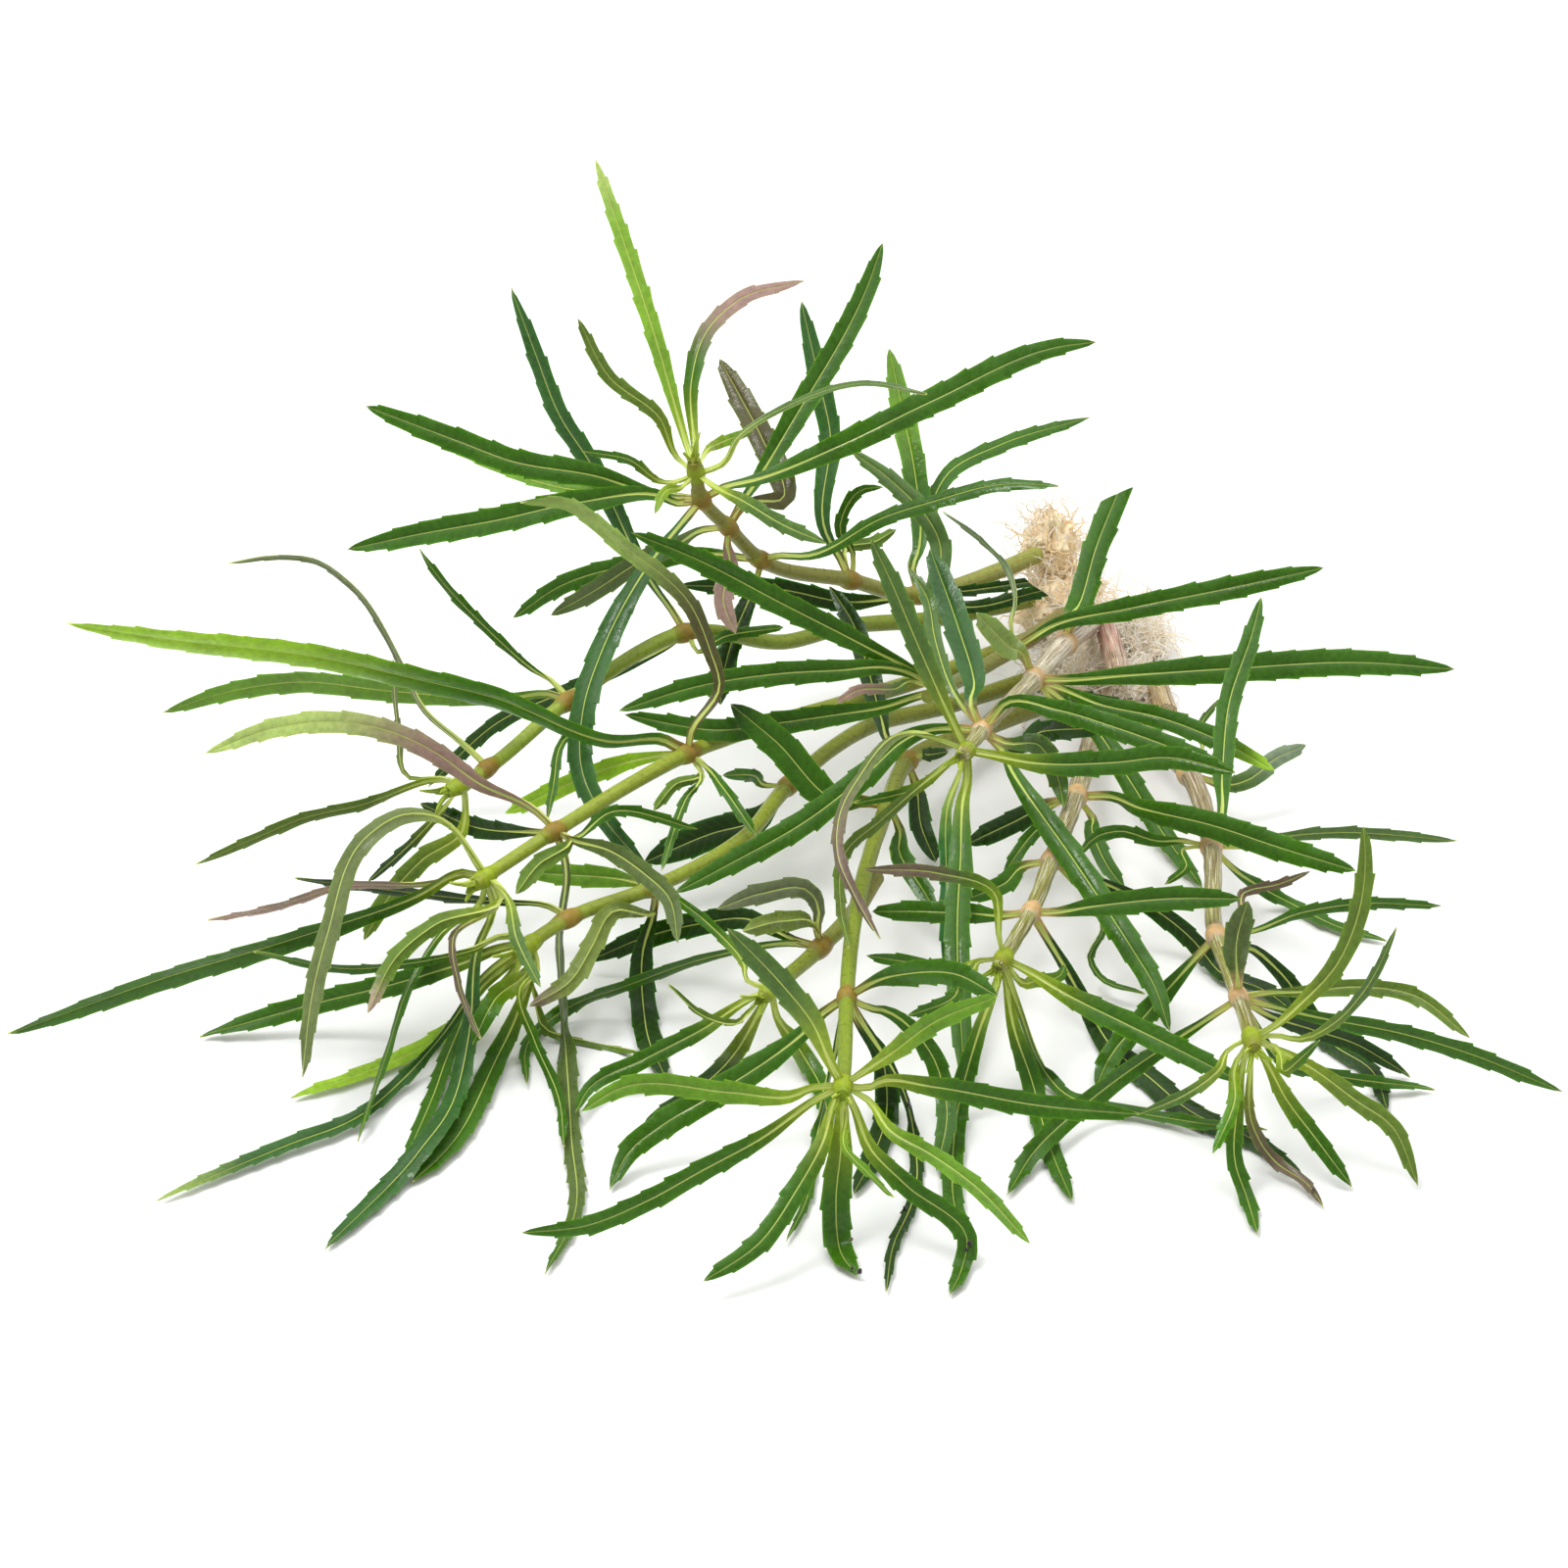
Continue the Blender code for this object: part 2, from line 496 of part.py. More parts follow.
def stem_radii(name, points):
    """Thick where it springs from the roots, thin at the growing tip."""
    start = STEM_OLD_RADIUS if name in OLD_STEMS else STEM_RADIUS
    along = lengths_along(points)
    return start + (STEM_TIP_RADIUS - start) * along / along[-1]


def ring_radius(stem_radius):
    """From the stem's middle to the middle of the ring's section."""
    bore = (stem_radius + RING_GAP) / math.cos(math.pi / RING_SIDES)
    return bore + RING_SECTION / 2


def width_profile(along):
    """Width of a blade along its length: narrow at the base, widest below the middle."""
    base = 0.34 + 0.66 * eased(along / 0.34)
    tip = np.clip(1.0 - np.clip((along - 0.42) / 0.58, 0.0, 1.0) ** 1.9, 0.0, 1.0)
    return base * tip


class Blade:
    """One leaf's midline and the directions across and out of its blade."""

    def __init__(self, whorl, details, centre, axis, stem_radius):
        self.whorl = whorl
        self.cut = details["cut"]
        self.axis = axis
        self.seen_width = details["width"] * PIXEL
        x, y = np.array(details["through"], float).T
        middle_x, middle_y, middle_depth = seen(centre)
        run = np.hypot(np.diff(x, prepend=middle_x), np.diff(y, prepend=middle_y)).cumsum()
        depth = middle_depth + details["out"] * MM * run / run[-1]
        depth = np.maximum(depth, depth_at_height(y, LEAST_HEIGHT))
        route = place(x, y, depth)
        start = ring_radius(stem_radius)
        clear = np.linalg.norm(route - centre, axis=1) > start + ROUTE_START
        clear[-1] = True
        route = route[clear]
        sideways = route[0] - centre
        sideways = unit(sideways - (sideways @ axis) * axis)
        self.radial = sideways
        first = centre + sideways * start * (1 + math.cos(math.pi / RING_SIDES)) / 2
        second = centre + sideways * (start + BASE_RUN) + axis * BASE_RISE
        self.points = smooth(np.vstack([first, second, route]), STATIONS)
        self.along = np.linspace(0.0, 1.0, STATIONS)
        length = lengths_along(self.points)[-1]
        self.width = max(self.seen_width, LEAF_SLENDERNESS * length)
        self.half = 0.5 * self.width * width_profile(self.along)
        self.half = np.maximum(self.half, 0.12 * MM)
        self.half[0] = 0.5 * LEAF_BASE_WIDTH
        if self.cut:
            self.half = 0.5 * self.width * (0.6 + 0.4 * eased(self.along / 0.3))
            self.half[0] = 0.5 * LEAF_BASE_WIDTH
        self.turn_frames()
        self.fit = self.picture_fit()
        self.half = self.half * self.fit

    def turn_frames(self):
        """Face the viewer as wide as the picture shows, and lie flat on the surface below."""
        tangent = unit(np.gradient(self.points, axis=0))
        facing = unit(VIEW_TOWARD - (tangent @ VIEW_TOWARD)[:, None] * tangent)
        aside = np.cross(tangent, facing)
        turn = math.acos(min(1.0, self.seen_width / self.width))
        side = 1.0 if np.mean(aside[STATIONS // 2] @ self.axis) >= 0 else -1.0
        wanted = math.cos(turn) * facing + side * math.sin(turn) * aside
        height = self.points[:, 2]
        level = eased(1.0 - height / LYING_HEIGHT)[:, None]
        upward = np.array([0.0, 0.0, 1.0])
        wanted = unit((1 - level) * wanted + level * upward)
        wanted = unit(wanted - np.sum(wanted * tangent, axis=1)[:, None] * tangent)
        base = carried(self.axis, tangent)
        if np.sum(base[STATIONS // 3 :] * wanted[STATIONS // 3 :]) < 0:
            wanted = -wanted
        sine = np.sum(np.cross(base, wanted) * tangent, axis=1)
        cosine = np.sum(base * wanted, axis=1)
        angle = np.unwrap(np.arctan2(sine, cosine)) * eased(self.along / 0.28)
        across = np.cross(tangent, base)
        self.normal = np.cos(angle)[:, None] * base + np.sin(angle)[:, None] * across
        self.across = np.cross(tangent, self.normal)

    def picture_fit(self):
        """Shares of the width that keep the blade from looking wider than the picture shows."""
        tangent = unit(np.gradient(self.points, axis=0))
        aside = unit(np.cross(tangent, VIEW_TOWARD))
        shown = self.width * np.abs(np.sum(self.across * aside, axis=1))
        share = np.clip(self.seen_width / np.maximum(shown, 0.5 * self.seen_width), LEAST_FIT, 1.0)
        share = np.convolve(np.pad(share, FIT_REACH, mode="edge"), FIT_MEAN, mode="valid")
        return 1.0 + (share - 1.0) * eased(self.along / 0.3)

    def lift(self):
        """Keep the blade's edges above the surface, along the lines of sight."""
        x, y, depth = seen(self.points)
        lowest = 0.25 * MM + self.half * np.abs(self.across[:, 2])
        lowest = lowest + LEAF_KEEL * np.maximum(self.normal[:, 2], 0.0)
        floor = depth_at_height(y, lowest)
        free = eased(self.along / 0.1)
        raised = np.maximum(depth, floor)
        self.points = place(x, y, depth + (raised - depth) * free)

    def samples(self):
        """Picture points and depths across the blade, and the station each belongs to."""
        stations = np.linspace(0, STATIONS - 1, ROWS_ALONG)
        rows = np.arange(STATIONS)
        points = np.stack([np.interp(stations, rows, self.points[:, a]) for a in range(3)], axis=1)
        reach = self.across * self.half[:, None]
        reach = np.stack([np.interp(stations, rows, reach[:, a]) for a in range(3)], axis=1)
        grid = points[:, None, :] + ACROSS[None, :, None] * reach[:, None, :]
        station = np.repeat(np.rint(stations).astype(int), len(ACROSS))
        return grid.reshape(-1, 3), station


def stem_samples(points, radii):
    """Points through a stem's cross-section from side to side, with its half depth there."""
    fine = smooth(points, STEM_ROWS)
    along = lengths_along(points)
    radius = np.interp(np.linspace(0, along[-1], len(fine)), along, radii)
    tangent = unit(np.gradient(fine, axis=0))
    side = unit(np.cross(tangent, VIEW_TOWARD))
    grid = fine[:, None, :] + ACROSS[None, :, None] * (side * radius[:, None])[:, None, :]
    half = radius[:, None] * np.sqrt(np.maximum(0.0, 1.0 - 0.9 * ACROSS[None, :] ** 2))
    return grid.reshape(-1, 3), half.reshape(-1)


def cells_of(points):
    """For each point, the number of the picture cell that it is seen in, and its depth."""
    x, y, depth = seen(points)
    column, line = np.floor(x / CELL).astype(int), np.floor(y / CELL).astype(int)
    return column * CELL_LINES + line, depth


def stem_entries(blades, stems):
    """Where the stems and their node rings are: cells, depths, owner numbers and stations."""
    rods = [(name, points, stem_radii(name, points)) for name, points in stems.items()]
    for stem, index, _ in WHORLS.values():
        points = stems[stem]
        ends = stem_direction(points, index) * np.array([[-1.2 * MM], [0.0], [1.2 * MM]])
        outer = ring_radius(stem_radii(stem, points)[index]) + RING_SECTION
        rods.append((stem, points[index] + ends, np.full(3, outer)))
    entries = []
    for name, points, radii in rods:
        grid, half = stem_samples(points, radii)
        cell, depth = cells_of(grid)
        owner = np.full(len(cell), len(blades) + list(stems).index(name))
        entries.append((cell, depth - half, depth + half, owner, np.zeros(len(cell), int)))
    return entries


def blade_entry(blade, number):
    """Where a blade is: cells, depths, owner numbers and stations."""
    grid, station = blade.samples()
    cell, depth = cells_of(grid)
    return cell, depth - BLADE_HALF, depth + BLADE_HALF, np.full(len(cell), number), station


def softened(push):
    return np.convolve(np.pad(push, SOFT_REACH, mode="edge"), SOFT_SHAPE, mode="valid")


def separate(blades, stems):
    """Push blades apart along the lines of sight wherever two share a spot of the picture."""
    fixed = stem_entries(blades, stems)
    order = {}
    for round_number in range(ROUNDS):
        if round_number % TURN_EVERY == 0:
            for blade in blades:
                blade.turn_frames()
        entries = fixed + [blade_entry(blade, number) for number, blade in enumerate(blades)]
        forward, back = pushes(entries, blades, order, round_number == 0)
        for number, blade in enumerate(blades):
            move = PUSH * (softened(forward[number]) - softened(back[number]))
            move = move * eased(blade.along / ROOTED)
            x, y, depth = seen(blade.points)
            blade.points = place(x, y, depth + move)
            blade.lift()
    for blade in blades:
        blade.turn_frames()
        blade.lift()


def pushes(entries, blades, order, first_round):
    """How far each station of each blade has to come forward and to go back."""
    cell, owner, station, low, high = gathered(entries)
    first, second = sharing(cell)
    keep = strangers(owner[first], owner[second], station[first], station[second], blades)
    first, second = first[keep], second[keep]
    lead = low[first] + high[first] - low[second] - high[second]
    pair = owner[first] * MOST_OWNERS + owner[second]
    if first_round:
        for key, value in zip(pair, lead / 2):
            order[key] = order.get(key, 0.0) + value
    known = np.array(sorted(order))
    totals = np.array([order[key] for key in known])
    row = np.clip(np.searchsorted(known, pair), 0, len(known) - 1)
    lead = np.where(known[row] == pair, totals[row], lead)
    front = np.where(lead > 0, first, second)
    behind = np.where(lead > 0, second, first)
    lack = np.maximum(0.0, high[behind] + CLEARANCE - low[front])
    found = []
    for side in (front, behind):
        push = np.zeros((len(blades), STATIONS))
        moving = owner[side] < len(blades)
        np.maximum.at(push, (owner[side][moving], station[side][moving]), lack[moving])
        found.append(push)
    return found


def gathered(entries):
    """One row for each owner in each cell: cell, owner, station, lowest and highest depth."""
    cell, low, high, owner, station = (np.concatenate(column) for column in zip(*entries))
    keys = cell * MOST_OWNERS + owner
    sort = np.argsort(keys, kind="stable")
    keys, low, high, station = keys[sort], low[sort], high[sort], station[sort]
    starts = np.flatnonzero(np.diff(keys, prepend=keys[0] - 1))
    low = np.minimum.reduceat(low, starts)
    high = np.maximum.reduceat(high, starts)
    return keys[starts] // MOST_OWNERS, keys[starts] % MOST_OWNERS, station[starts], low, high


def sharing(cell):
    """Pairs of rows that lie in the same cell."""
    pairs = []
    for step in range(1, MOST_SHARING):
        same = np.flatnonzero(cell[:-step] == cell[step:])
        pairs.append(np.stack([same, same + step]))
    return np.concatenate(pairs, axis=1)


def strangers(first, second, first_station, second_station, blades):
    """Whether two owners must keep clear of each other there.

    Two stems need not, nor the bases of two blades of one whorl, nor a base and its own stem.
    """
    names = [blade.whorl for blade in blades] + list(STEMS)
    whorl = np.array([list(WHORLS).index(name) if name in WHORLS else -1 for name in names])
    stems = [WHORLS[blade.whorl][0] for blade in blades]
    home = [len(blades) + list(STEMS).index(stem) for stem in stems] + [-1] * len(STEMS)
    home = np.array(home)
    is_kin = (whorl[first] == whorl[second]) & (whorl[first] >= 0)
    is_kin &= (first_station < KIN_STATIONS) & (second_station < KIN_STATIONS)
    is_home = (home[first] == second) & (first_station < HOME_STATIONS)
    is_home |= (home[second] == first) & (second_station < HOME_STATIONS)
    both_stems = (first >= len(blades)) & (second >= len(blades))
    return ~is_kin & ~is_home & ~both_stems


def all_blades():
    """Every leaf's blade, set apart from its neighbours."""
    stems = {name: stem_points(route) for name, route in STEMS.items()}
    blades = []
    for name, (stem, index, leaves) in WHORLS.items():
        points = stems[stem]
        radius = stem_radii(stem, points)[index]
        axis = stem_direction(points, index)
        for details in leaves:
            blades.append(Blade(name, details, points[index], axis, radius))
    separate(blades, stems)
    return blades


def new_material(name, colour, roughness):
    material = bpy.data.materials.new(name)
    material.use_nodes = True
    surface = material.node_tree.nodes["Principled BSDF"]
    surface.inputs["Base Color"].default_value = colour
    surface.inputs["Roughness"].default_value = roughness
    surface.inputs["Metallic"].default_value = 0.0
    return material


def new_object(name, mesh, collection, colour, roughness=0.45):
    thing = bpy.data.objects.new(name, mesh)
    collection.objects.link(thing)
    mesh.materials.clear()
    mesh.materials.append(new_material(name, colour, roughness))
    return thing


def tube(name, points, radii, collection):
    """A round rod along the points, as a closed mesh."""
    curve = bpy.data.curves.new(name, "CURVE")
    curve.dimensions = "3D"
    curve.bevel_depth = 1.0
    curve.bevel_resolution = 2
    curve.use_fill_caps = True
    spline = curve.splines.new("POLY")
    spline.points.add(len(points) - 1)
    for point, spot, radius in zip(spline.points, points, radii):
        point.co = (*spot, 1.0)
        point.radius = radius
    drawn = bpy.data.objects.new(name, curve)
    collection.objects.link(drawn)
    depsgraph = bpy.context.evaluated_depsgraph_get()
    mesh = bpy.data.meshes.new_from_object(drawn.evaluated_get(depsgraph))
    bpy.data.objects.remove(drawn)
    bpy.data.curves.remove(curve)
    work = bmesh.new()
    work.from_mesh(mesh)
    bmesh.ops.remove_doubles(work, verts=work.verts, dist=SAME_POINT)
    bmesh.ops.recalc_face_normals(work, faces=work.faces)
    work.to_mesh(mesh)
    work.free()
    return mesh


def applied(thing):
    """The object's mesh with its modifiers, in place of its own."""
    depsgraph = bpy.context.evaluated_depsgraph_get()
    mesh = bpy.data.meshes.new_from_object(thing.evaluated_get(depsgraph))
    thing.modifiers.clear()
    old = thing.data
    thing.data = mesh
    bpy.data.meshes.remove(old)


def join(thing, other, operation, solver="EXACT"):
    """Unite the object with another, or cut the other out of it, and remove the other."""
    boolean = thing.modifiers.new(operation.lower(), "BOOLEAN")
    boolean.operation = operation
    boolean.solver = solver
    boolean.object = other
    applied(thing)
    mesh = other.data
    bpy.data.objects.remove(other)
    bpy.data.meshes.remove(mesh)


def keep_largest_island(mesh):
    """Drop the crumbs that a union of many thin blades can leave."""
    work = bmesh.new()
    work.from_mesh(mesh)
    waiting = set(work.verts)
    islands = []
    while waiting:
        island = {waiting.pop()}
        edge = list(island)
        while edge:
            vertex = edge.pop()
            linked = {link.other_vert(vertex) for link in vertex.link_edges} & waiting
            waiting -= linked
            island |= linked
            edge.extend(linked)
        islands.append(island)
    largest = max(islands, key=len)
    crumbs = [vertex for island in islands if island is not largest for vertex in island]
    bmesh.ops.delete(work, geom=crumbs, context="VERTS")
    work.to_mesh(mesh)
    work.free()


def blade_stations(blade):
    """The few stations that carry the blade's solid: more where it bends more."""
    tangent = unit(np.gradient(blade.points, axis=0))
    bend = np.linalg.norm(np.diff(tangent, axis=0), axis=1)
    twist = np.linalg.norm(np.diff(blade.normal, axis=0), axis=1)
    effort = np.concatenate([[0.0], np.cumsum(bend + TWIST_WEIGHT * twist + LENGTH_WEIGHT)])
    spans = int(np.clip(round(effort[-1] / SPAN_EFFORT), FEWEST_SPANS, MOST_SPANS))
    picked = np.interp(np.linspace(0, effort[-1], spans + 1), effort, np.arange(STATIONS))
    picked = set(np.rint(picked).astype(int)) | {0, STATIONS - 1}
    return sorted(picked - {1, STATIONS - 2})


def section_corners(blade, station):
    """Left edge, right edge and keel of the blade's three-sided section."""
    middle = blade.points[station]
    growth = eased(station / KEEL_STATIONS)
    keel = LEAF_BASE_THICKNESS + (LEAF_KEEL - LEAF_BASE_THICKNESS) * growth
    upper = KEEL_ABOVE * keel * blade.normal[station]
    reach = blade.across[station] * blade.half[station]
    lower = middle - (1 - KEEL_ABOVE) * keel * blade.normal[station]
    return np.array([middle + reach + upper, middle - reach + upper, lower])


def ahead(blade, near, far):
    """Whether the section at the far station lies wholly beyond the near one."""
    tangent = unit(np.gradient(blade.points, axis=0))
    beyond = (section_corners(blade, far) - blade.points[near]) @ tangent[near]
    before = (section_corners(blade, near) - blade.points[far]) @ tangent[far]
    return beyond.min() > LEAST_STEP and before.max() < -LEAST_STEP


def blade_mesh(blade):
    """A closed three-sided blade: a flat upper face and a keel below the midrib."""
    stations = [0]
    for station in blade_stations(blade)[1:-1]:
        if ahead(blade, stations[-1], station) and ahead(blade, station, STATIONS - 1):
            stations.append(station)
    stations.append(STATIONS - 1)
    work = bmesh.new()
    sections = []
    for station in stations:
        if station == STATIONS - 1 and not blade.cut:
            sections.append([work.verts.new(blade.points[station])])
        else:
            corners = section_corners(blade, station)
            sections.append([work.verts.new(corner) for corner in corners])
    work.faces.new(sections[0])
    for near, far in zip(sections, sections[1:]):
        for side in range(3):
            following = (side + 1) % 3
            if len(far) == 1:
                work.faces.new((near[following], near[side], far[0]))
                continue
            corners = (near[following], near[side], far[side], far[following])
            # The diagonals of the upper and lower faces run the same way across the blade
            first = 1 if side == 0 else 0
            work.faces.new((corners[0], corners[1], corners[2 + first]))
            work.faces.new((corners[first], corners[2], corners[3]))
    if blade.cut:
        work.faces.new(sections[-1][::-1])
    mesh = bpy.data.meshes.new("blade")
    work.to_mesh(mesh)
    work.free()
    return mesh


def make_whorl(name, blades, collection, cutters):
    """A node ring round its stem, with the leaves that grow from it."""
    stem, index, _ = WHORLS[name]
    points = stem_points(STEMS[stem])
    radius = stem_radii(stem, points)[index]
    bpy.ops.mesh.primitive_torus_add(
        major_segments=RING_SIDES,
        minor_segments=3,
        major_radius=ring_radius(radius),
        minor_radius=RING_SECTION,
    )
    ring = bpy.context.object
    turn = Vector(stem_direction(points, index)).to_track_quat("Z", "Y").to_matrix().to_4x4()
    ring.data.transform(Matrix.Translation(Vector(points[index])) @ turn)
    mesh = ring.data.copy()
    bpy.data.objects.remove(ring)
    whorl = new_object(name, mesh, collection, LEAF_GREEN)
    for blade in blades:
        body = bpy.data.objects.new("blade", blade_mesh(blade))
        cutters.objects.link(body)
        join(whorl, body, "UNION", "MANIFOLD")
    keep_largest_island(whorl.data)
    return whorl


def stem_route(name):
    """Points and radii of a stem's rod."""
    points = stem_points(STEMS[name])
    return points, stem_radii(name, points)


def make_stem(name, collection):
    points, radii = stem_route(name)
    colour = STEM_TAN if name in OLD_STEMS else STEM_OLIVE
    return new_object(name, tube(name, points, radii, collection), collection, colour)


def lump_mesh(number, middle, halves):
    """A rough round lump, flat where it lies on the surface."""
    bpy.ops.mesh.primitive_ico_sphere_add(subdivisions=2, radius=1.0)
    lump = bpy.context.object
    mesh = lump.data.copy()
    bpy.data.objects.remove(lump)
    centre = Vector(place(middle[0], middle[1], middle[2] * MM))
    half_width, half_height, half_depth = halves
    size = Vector((half_width, half_depth, half_height)) * MM
    shift = Vector((LUMP_SHIFT * number, 0, 0))
    for vertex in mesh.vertices:
        rough = 1.0 + LUMP_ROUGHNESS * noise.noise(vertex.co * LUMP_GRAIN + shift)
        spot = centre + vertex.co * rough * size
        spot.z = max(spot.z, 0.0)
        vertex.co = spot
    return mesh


def make_roots(collection, cutters):
    """Root lumps grown together, with a socket for each stem."""
    roots = None
    for number, (middle, halves) in enumerate(ROOT_LUMPS):
        mesh = lump_mesh(number, middle, halves)
        if roots is None:
            roots = new_object("roots", mesh, collection, ROOT_CREAM, 0.8)
        else:
            other = bpy.data.objects.new("lump", mesh)
            cutters.objects.link(other)
            join(roots, other, "UNION")
    routes = {name: stem_route(name) for name in STEMS if name not in SIDE_SHOOTS}
    routes.update({name: stub_route(name) for name in STUBS})
    for name, (points, radii) in routes.items():
        back = points[0] - unit(points[1] - points[0]) * SOCKET_GAP
        points = np.vstack([back, points[1:4]])
        mesh = tube("socket", points, radii[: len(points)] + SOCKET_GAP, cutters)
        socket = bpy.data.objects.new("socket", mesh)
        cutters.objects.link(socket)
        join(roots, socket, "DIFFERENCE")
    return roots


def stub_route(name):
    points = stem_points(STUBS[name])
    return points, np.full(len(points), STEM_OLD_RADIUS)


def main():
    for thing in list(bpy.data.objects):
        bpy.data.objects.remove(thing)
    parts = bpy.data.collections.new("pogostemon_stellatus")
    cutters = bpy.data.collections.new("cutters")
    bpy.context.scene.collection.children.link(parts)
    bpy.context.scene.collection.children.link(cutters)
    for name in STEMS:
        make_stem(name, parts)
    for name in STUBS:
        points, radii = stub_route(name)
        new_object(name, tube(name, points, radii, parts), parts, STEM_TAN)
    make_roots(parts, cutters)
    blades = all_blades()
    for name in WHORLS:
        make_whorl(name, [blade for blade in blades if blade.whorl == name], parts, cutters)


main()
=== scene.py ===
"""The looks of a rooted bunch of a narrow-leaved aquarium stem plant lying on a flat surface.

Every whorl, stem and stub of the frame is replaced by a finer piece on the same midline: toothed
and cupped leaves with a pale midrib, stems with swollen nodes, and a mass of root fibres.
"""

import math
import random

import bpy
import numpy as np
from mathutils import Matrix, Vector, noise


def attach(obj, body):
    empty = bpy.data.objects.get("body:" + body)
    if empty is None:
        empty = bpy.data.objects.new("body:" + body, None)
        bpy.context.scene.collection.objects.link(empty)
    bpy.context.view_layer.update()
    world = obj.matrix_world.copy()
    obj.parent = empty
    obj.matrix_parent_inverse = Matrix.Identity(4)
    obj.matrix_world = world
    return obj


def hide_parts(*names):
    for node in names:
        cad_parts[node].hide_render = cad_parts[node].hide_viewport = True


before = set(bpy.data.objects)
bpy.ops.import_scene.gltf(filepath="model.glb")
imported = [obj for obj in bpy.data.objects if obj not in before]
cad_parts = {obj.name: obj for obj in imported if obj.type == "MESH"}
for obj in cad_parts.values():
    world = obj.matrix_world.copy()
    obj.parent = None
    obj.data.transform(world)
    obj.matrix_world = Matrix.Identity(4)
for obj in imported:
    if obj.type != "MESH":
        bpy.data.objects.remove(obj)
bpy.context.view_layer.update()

MM = 0.001
FINE_STEPS = 24  # of a smooth curve, for each point that it runs through

# Real sizes
LEAF_SLENDERNESS = 0.062  # full width of a blade over its length
LEAF_KEEL = 0.75 * MM  # thickness of a blade at its midrib
LEAF_BASE_WIDTH = 1.3 * MM
LEAST_HALF_WIDTH = 0.12 * MM
BASE_RUN = 1.8 * MM  # how far a blade runs straight out of its ring
BASE_RISE = 0.3 * MM
ROUTE_START = 4 * MM  # picture points of a leaf nearer to its ring than this are passed over
LEAST_HEIGHT = 0.4 * MM  # of a midline above the surface
LYING_HEIGHT = 5 * MM  # below this a blade turns flat
EDGE_HEIGHT = 0.25 * MM  # of a blade's edge above the surface, at least
STEM_OLD_RADIUS = 1.75 * MM
STEM_RADIUS = 1.4 * MM
STEM_TIP_RADIUS = 1.0 * MM
RING_GAP = 0.35 * MM  # between a stem and the node ring round it
RING_SECTION = 0.9 * MM  # from the middle of a ring's section to its edge
RING_SIDES = 6
RING_REACH = 1.2 * MM  # of the room that a ring takes along its stem, to each side

# The view that the picture points belong to
PICTURE_MIDDLE = 800.0
PIXEL = MM / 6.0  # size of a picture point at the reference place
VIEW_DISTANCE = 950 * MM
VIEW_ELEVATION = math.radians(30)
VIEW_RIGHT = np.array([1.0, 0.0, 0.0])
VIEW_UP = np.array([0.0, math.sin(VIEW_ELEVATION), math.cos(VIEW_ELEVATION)])
VIEW_TOWARD = np.array([0.0, -math.cos(VIEW_ELEVATION), math.sin(VIEW_ELEVATION)])
REFERENCE = np.array([-0.3, -4.8, 28.87]) * MM  # what the middle of the picture shows
SENSOR_WIDTH = 36.0  # millimetres
FLOOR_REACH = 6.0

# Lamps by place, size and power, and where they face
LAMPS = {
    "overhead": ((0.0, 0.2, 1.6), 2.5, 30.0),
    "key": ((-0.35, -0.1, 1.1), 0.35, 5.0),
}
LAMP_TARGET = (0, 0, 0.03)

# Outlines of a leaf: its width at the base, how much that grows, where it is full, where the tip
# begins and how long it is, all as shares, and then two powers for the curve of the tip
SOLID_OUTLINE = (0.34, 0.66, 0.34, 0.42, 0.58, 1.9, 1.0)
FINE_OUTLINE = (0.38, 0.62, 0.4, 0.56, 0.44, 2.7, 0.68)

# Widths of the blades
LEAST_FIT = 0.5  # the least share of its width that a blade keeps
FIT_REACH = 3  # stations on each side that this share is averaged over
FIT_MEAN = np.full(2 * FIT_REACH + 1, 1 / (2 * FIT_REACH + 1))

# Keeping the blades apart
STATIONS = 33  # points followed along each blade
CELL = 5.0  # picture points
BLADE_HALF = 0.5 * MM
CLEARANCE = 0.65 * MM
ROUNDS = 60
PUSH = 0.35  # share of a lack of room that one round makes up for
TURN_EVERY = 6  # rounds between two turnings of the blades
ROOTED = 0.22  # share of a blade that its whorl holds in place
ACROSS = np.linspace(-1.0, 1.0, 7)  # places looked at across a blade or stem
ROWS_ALONG = 3 * STATIONS  # places looked at along a blade
STEM_ROWS = 160  # places looked at along a stem
SOFT_REACH = 6  # stations over which a push is smoothed
SOFT_SHAPE = np.exp(-0.5 * (np.arange(-SOFT_REACH, SOFT_REACH + 1) / 2.4) ** 2)
KIN_STATIONS = 6  # so near their base, blades of one whorl may touch
HOME_STATIONS = 4  # so near its base, a blade may touch its own stem
CELL_LINES = 4096  # more than the picture has cells from top to bottom
MOST_OWNERS = 512  # more than there are blades and stems
MOST_SHARING = 9  # entries of one cell that are compared with each other

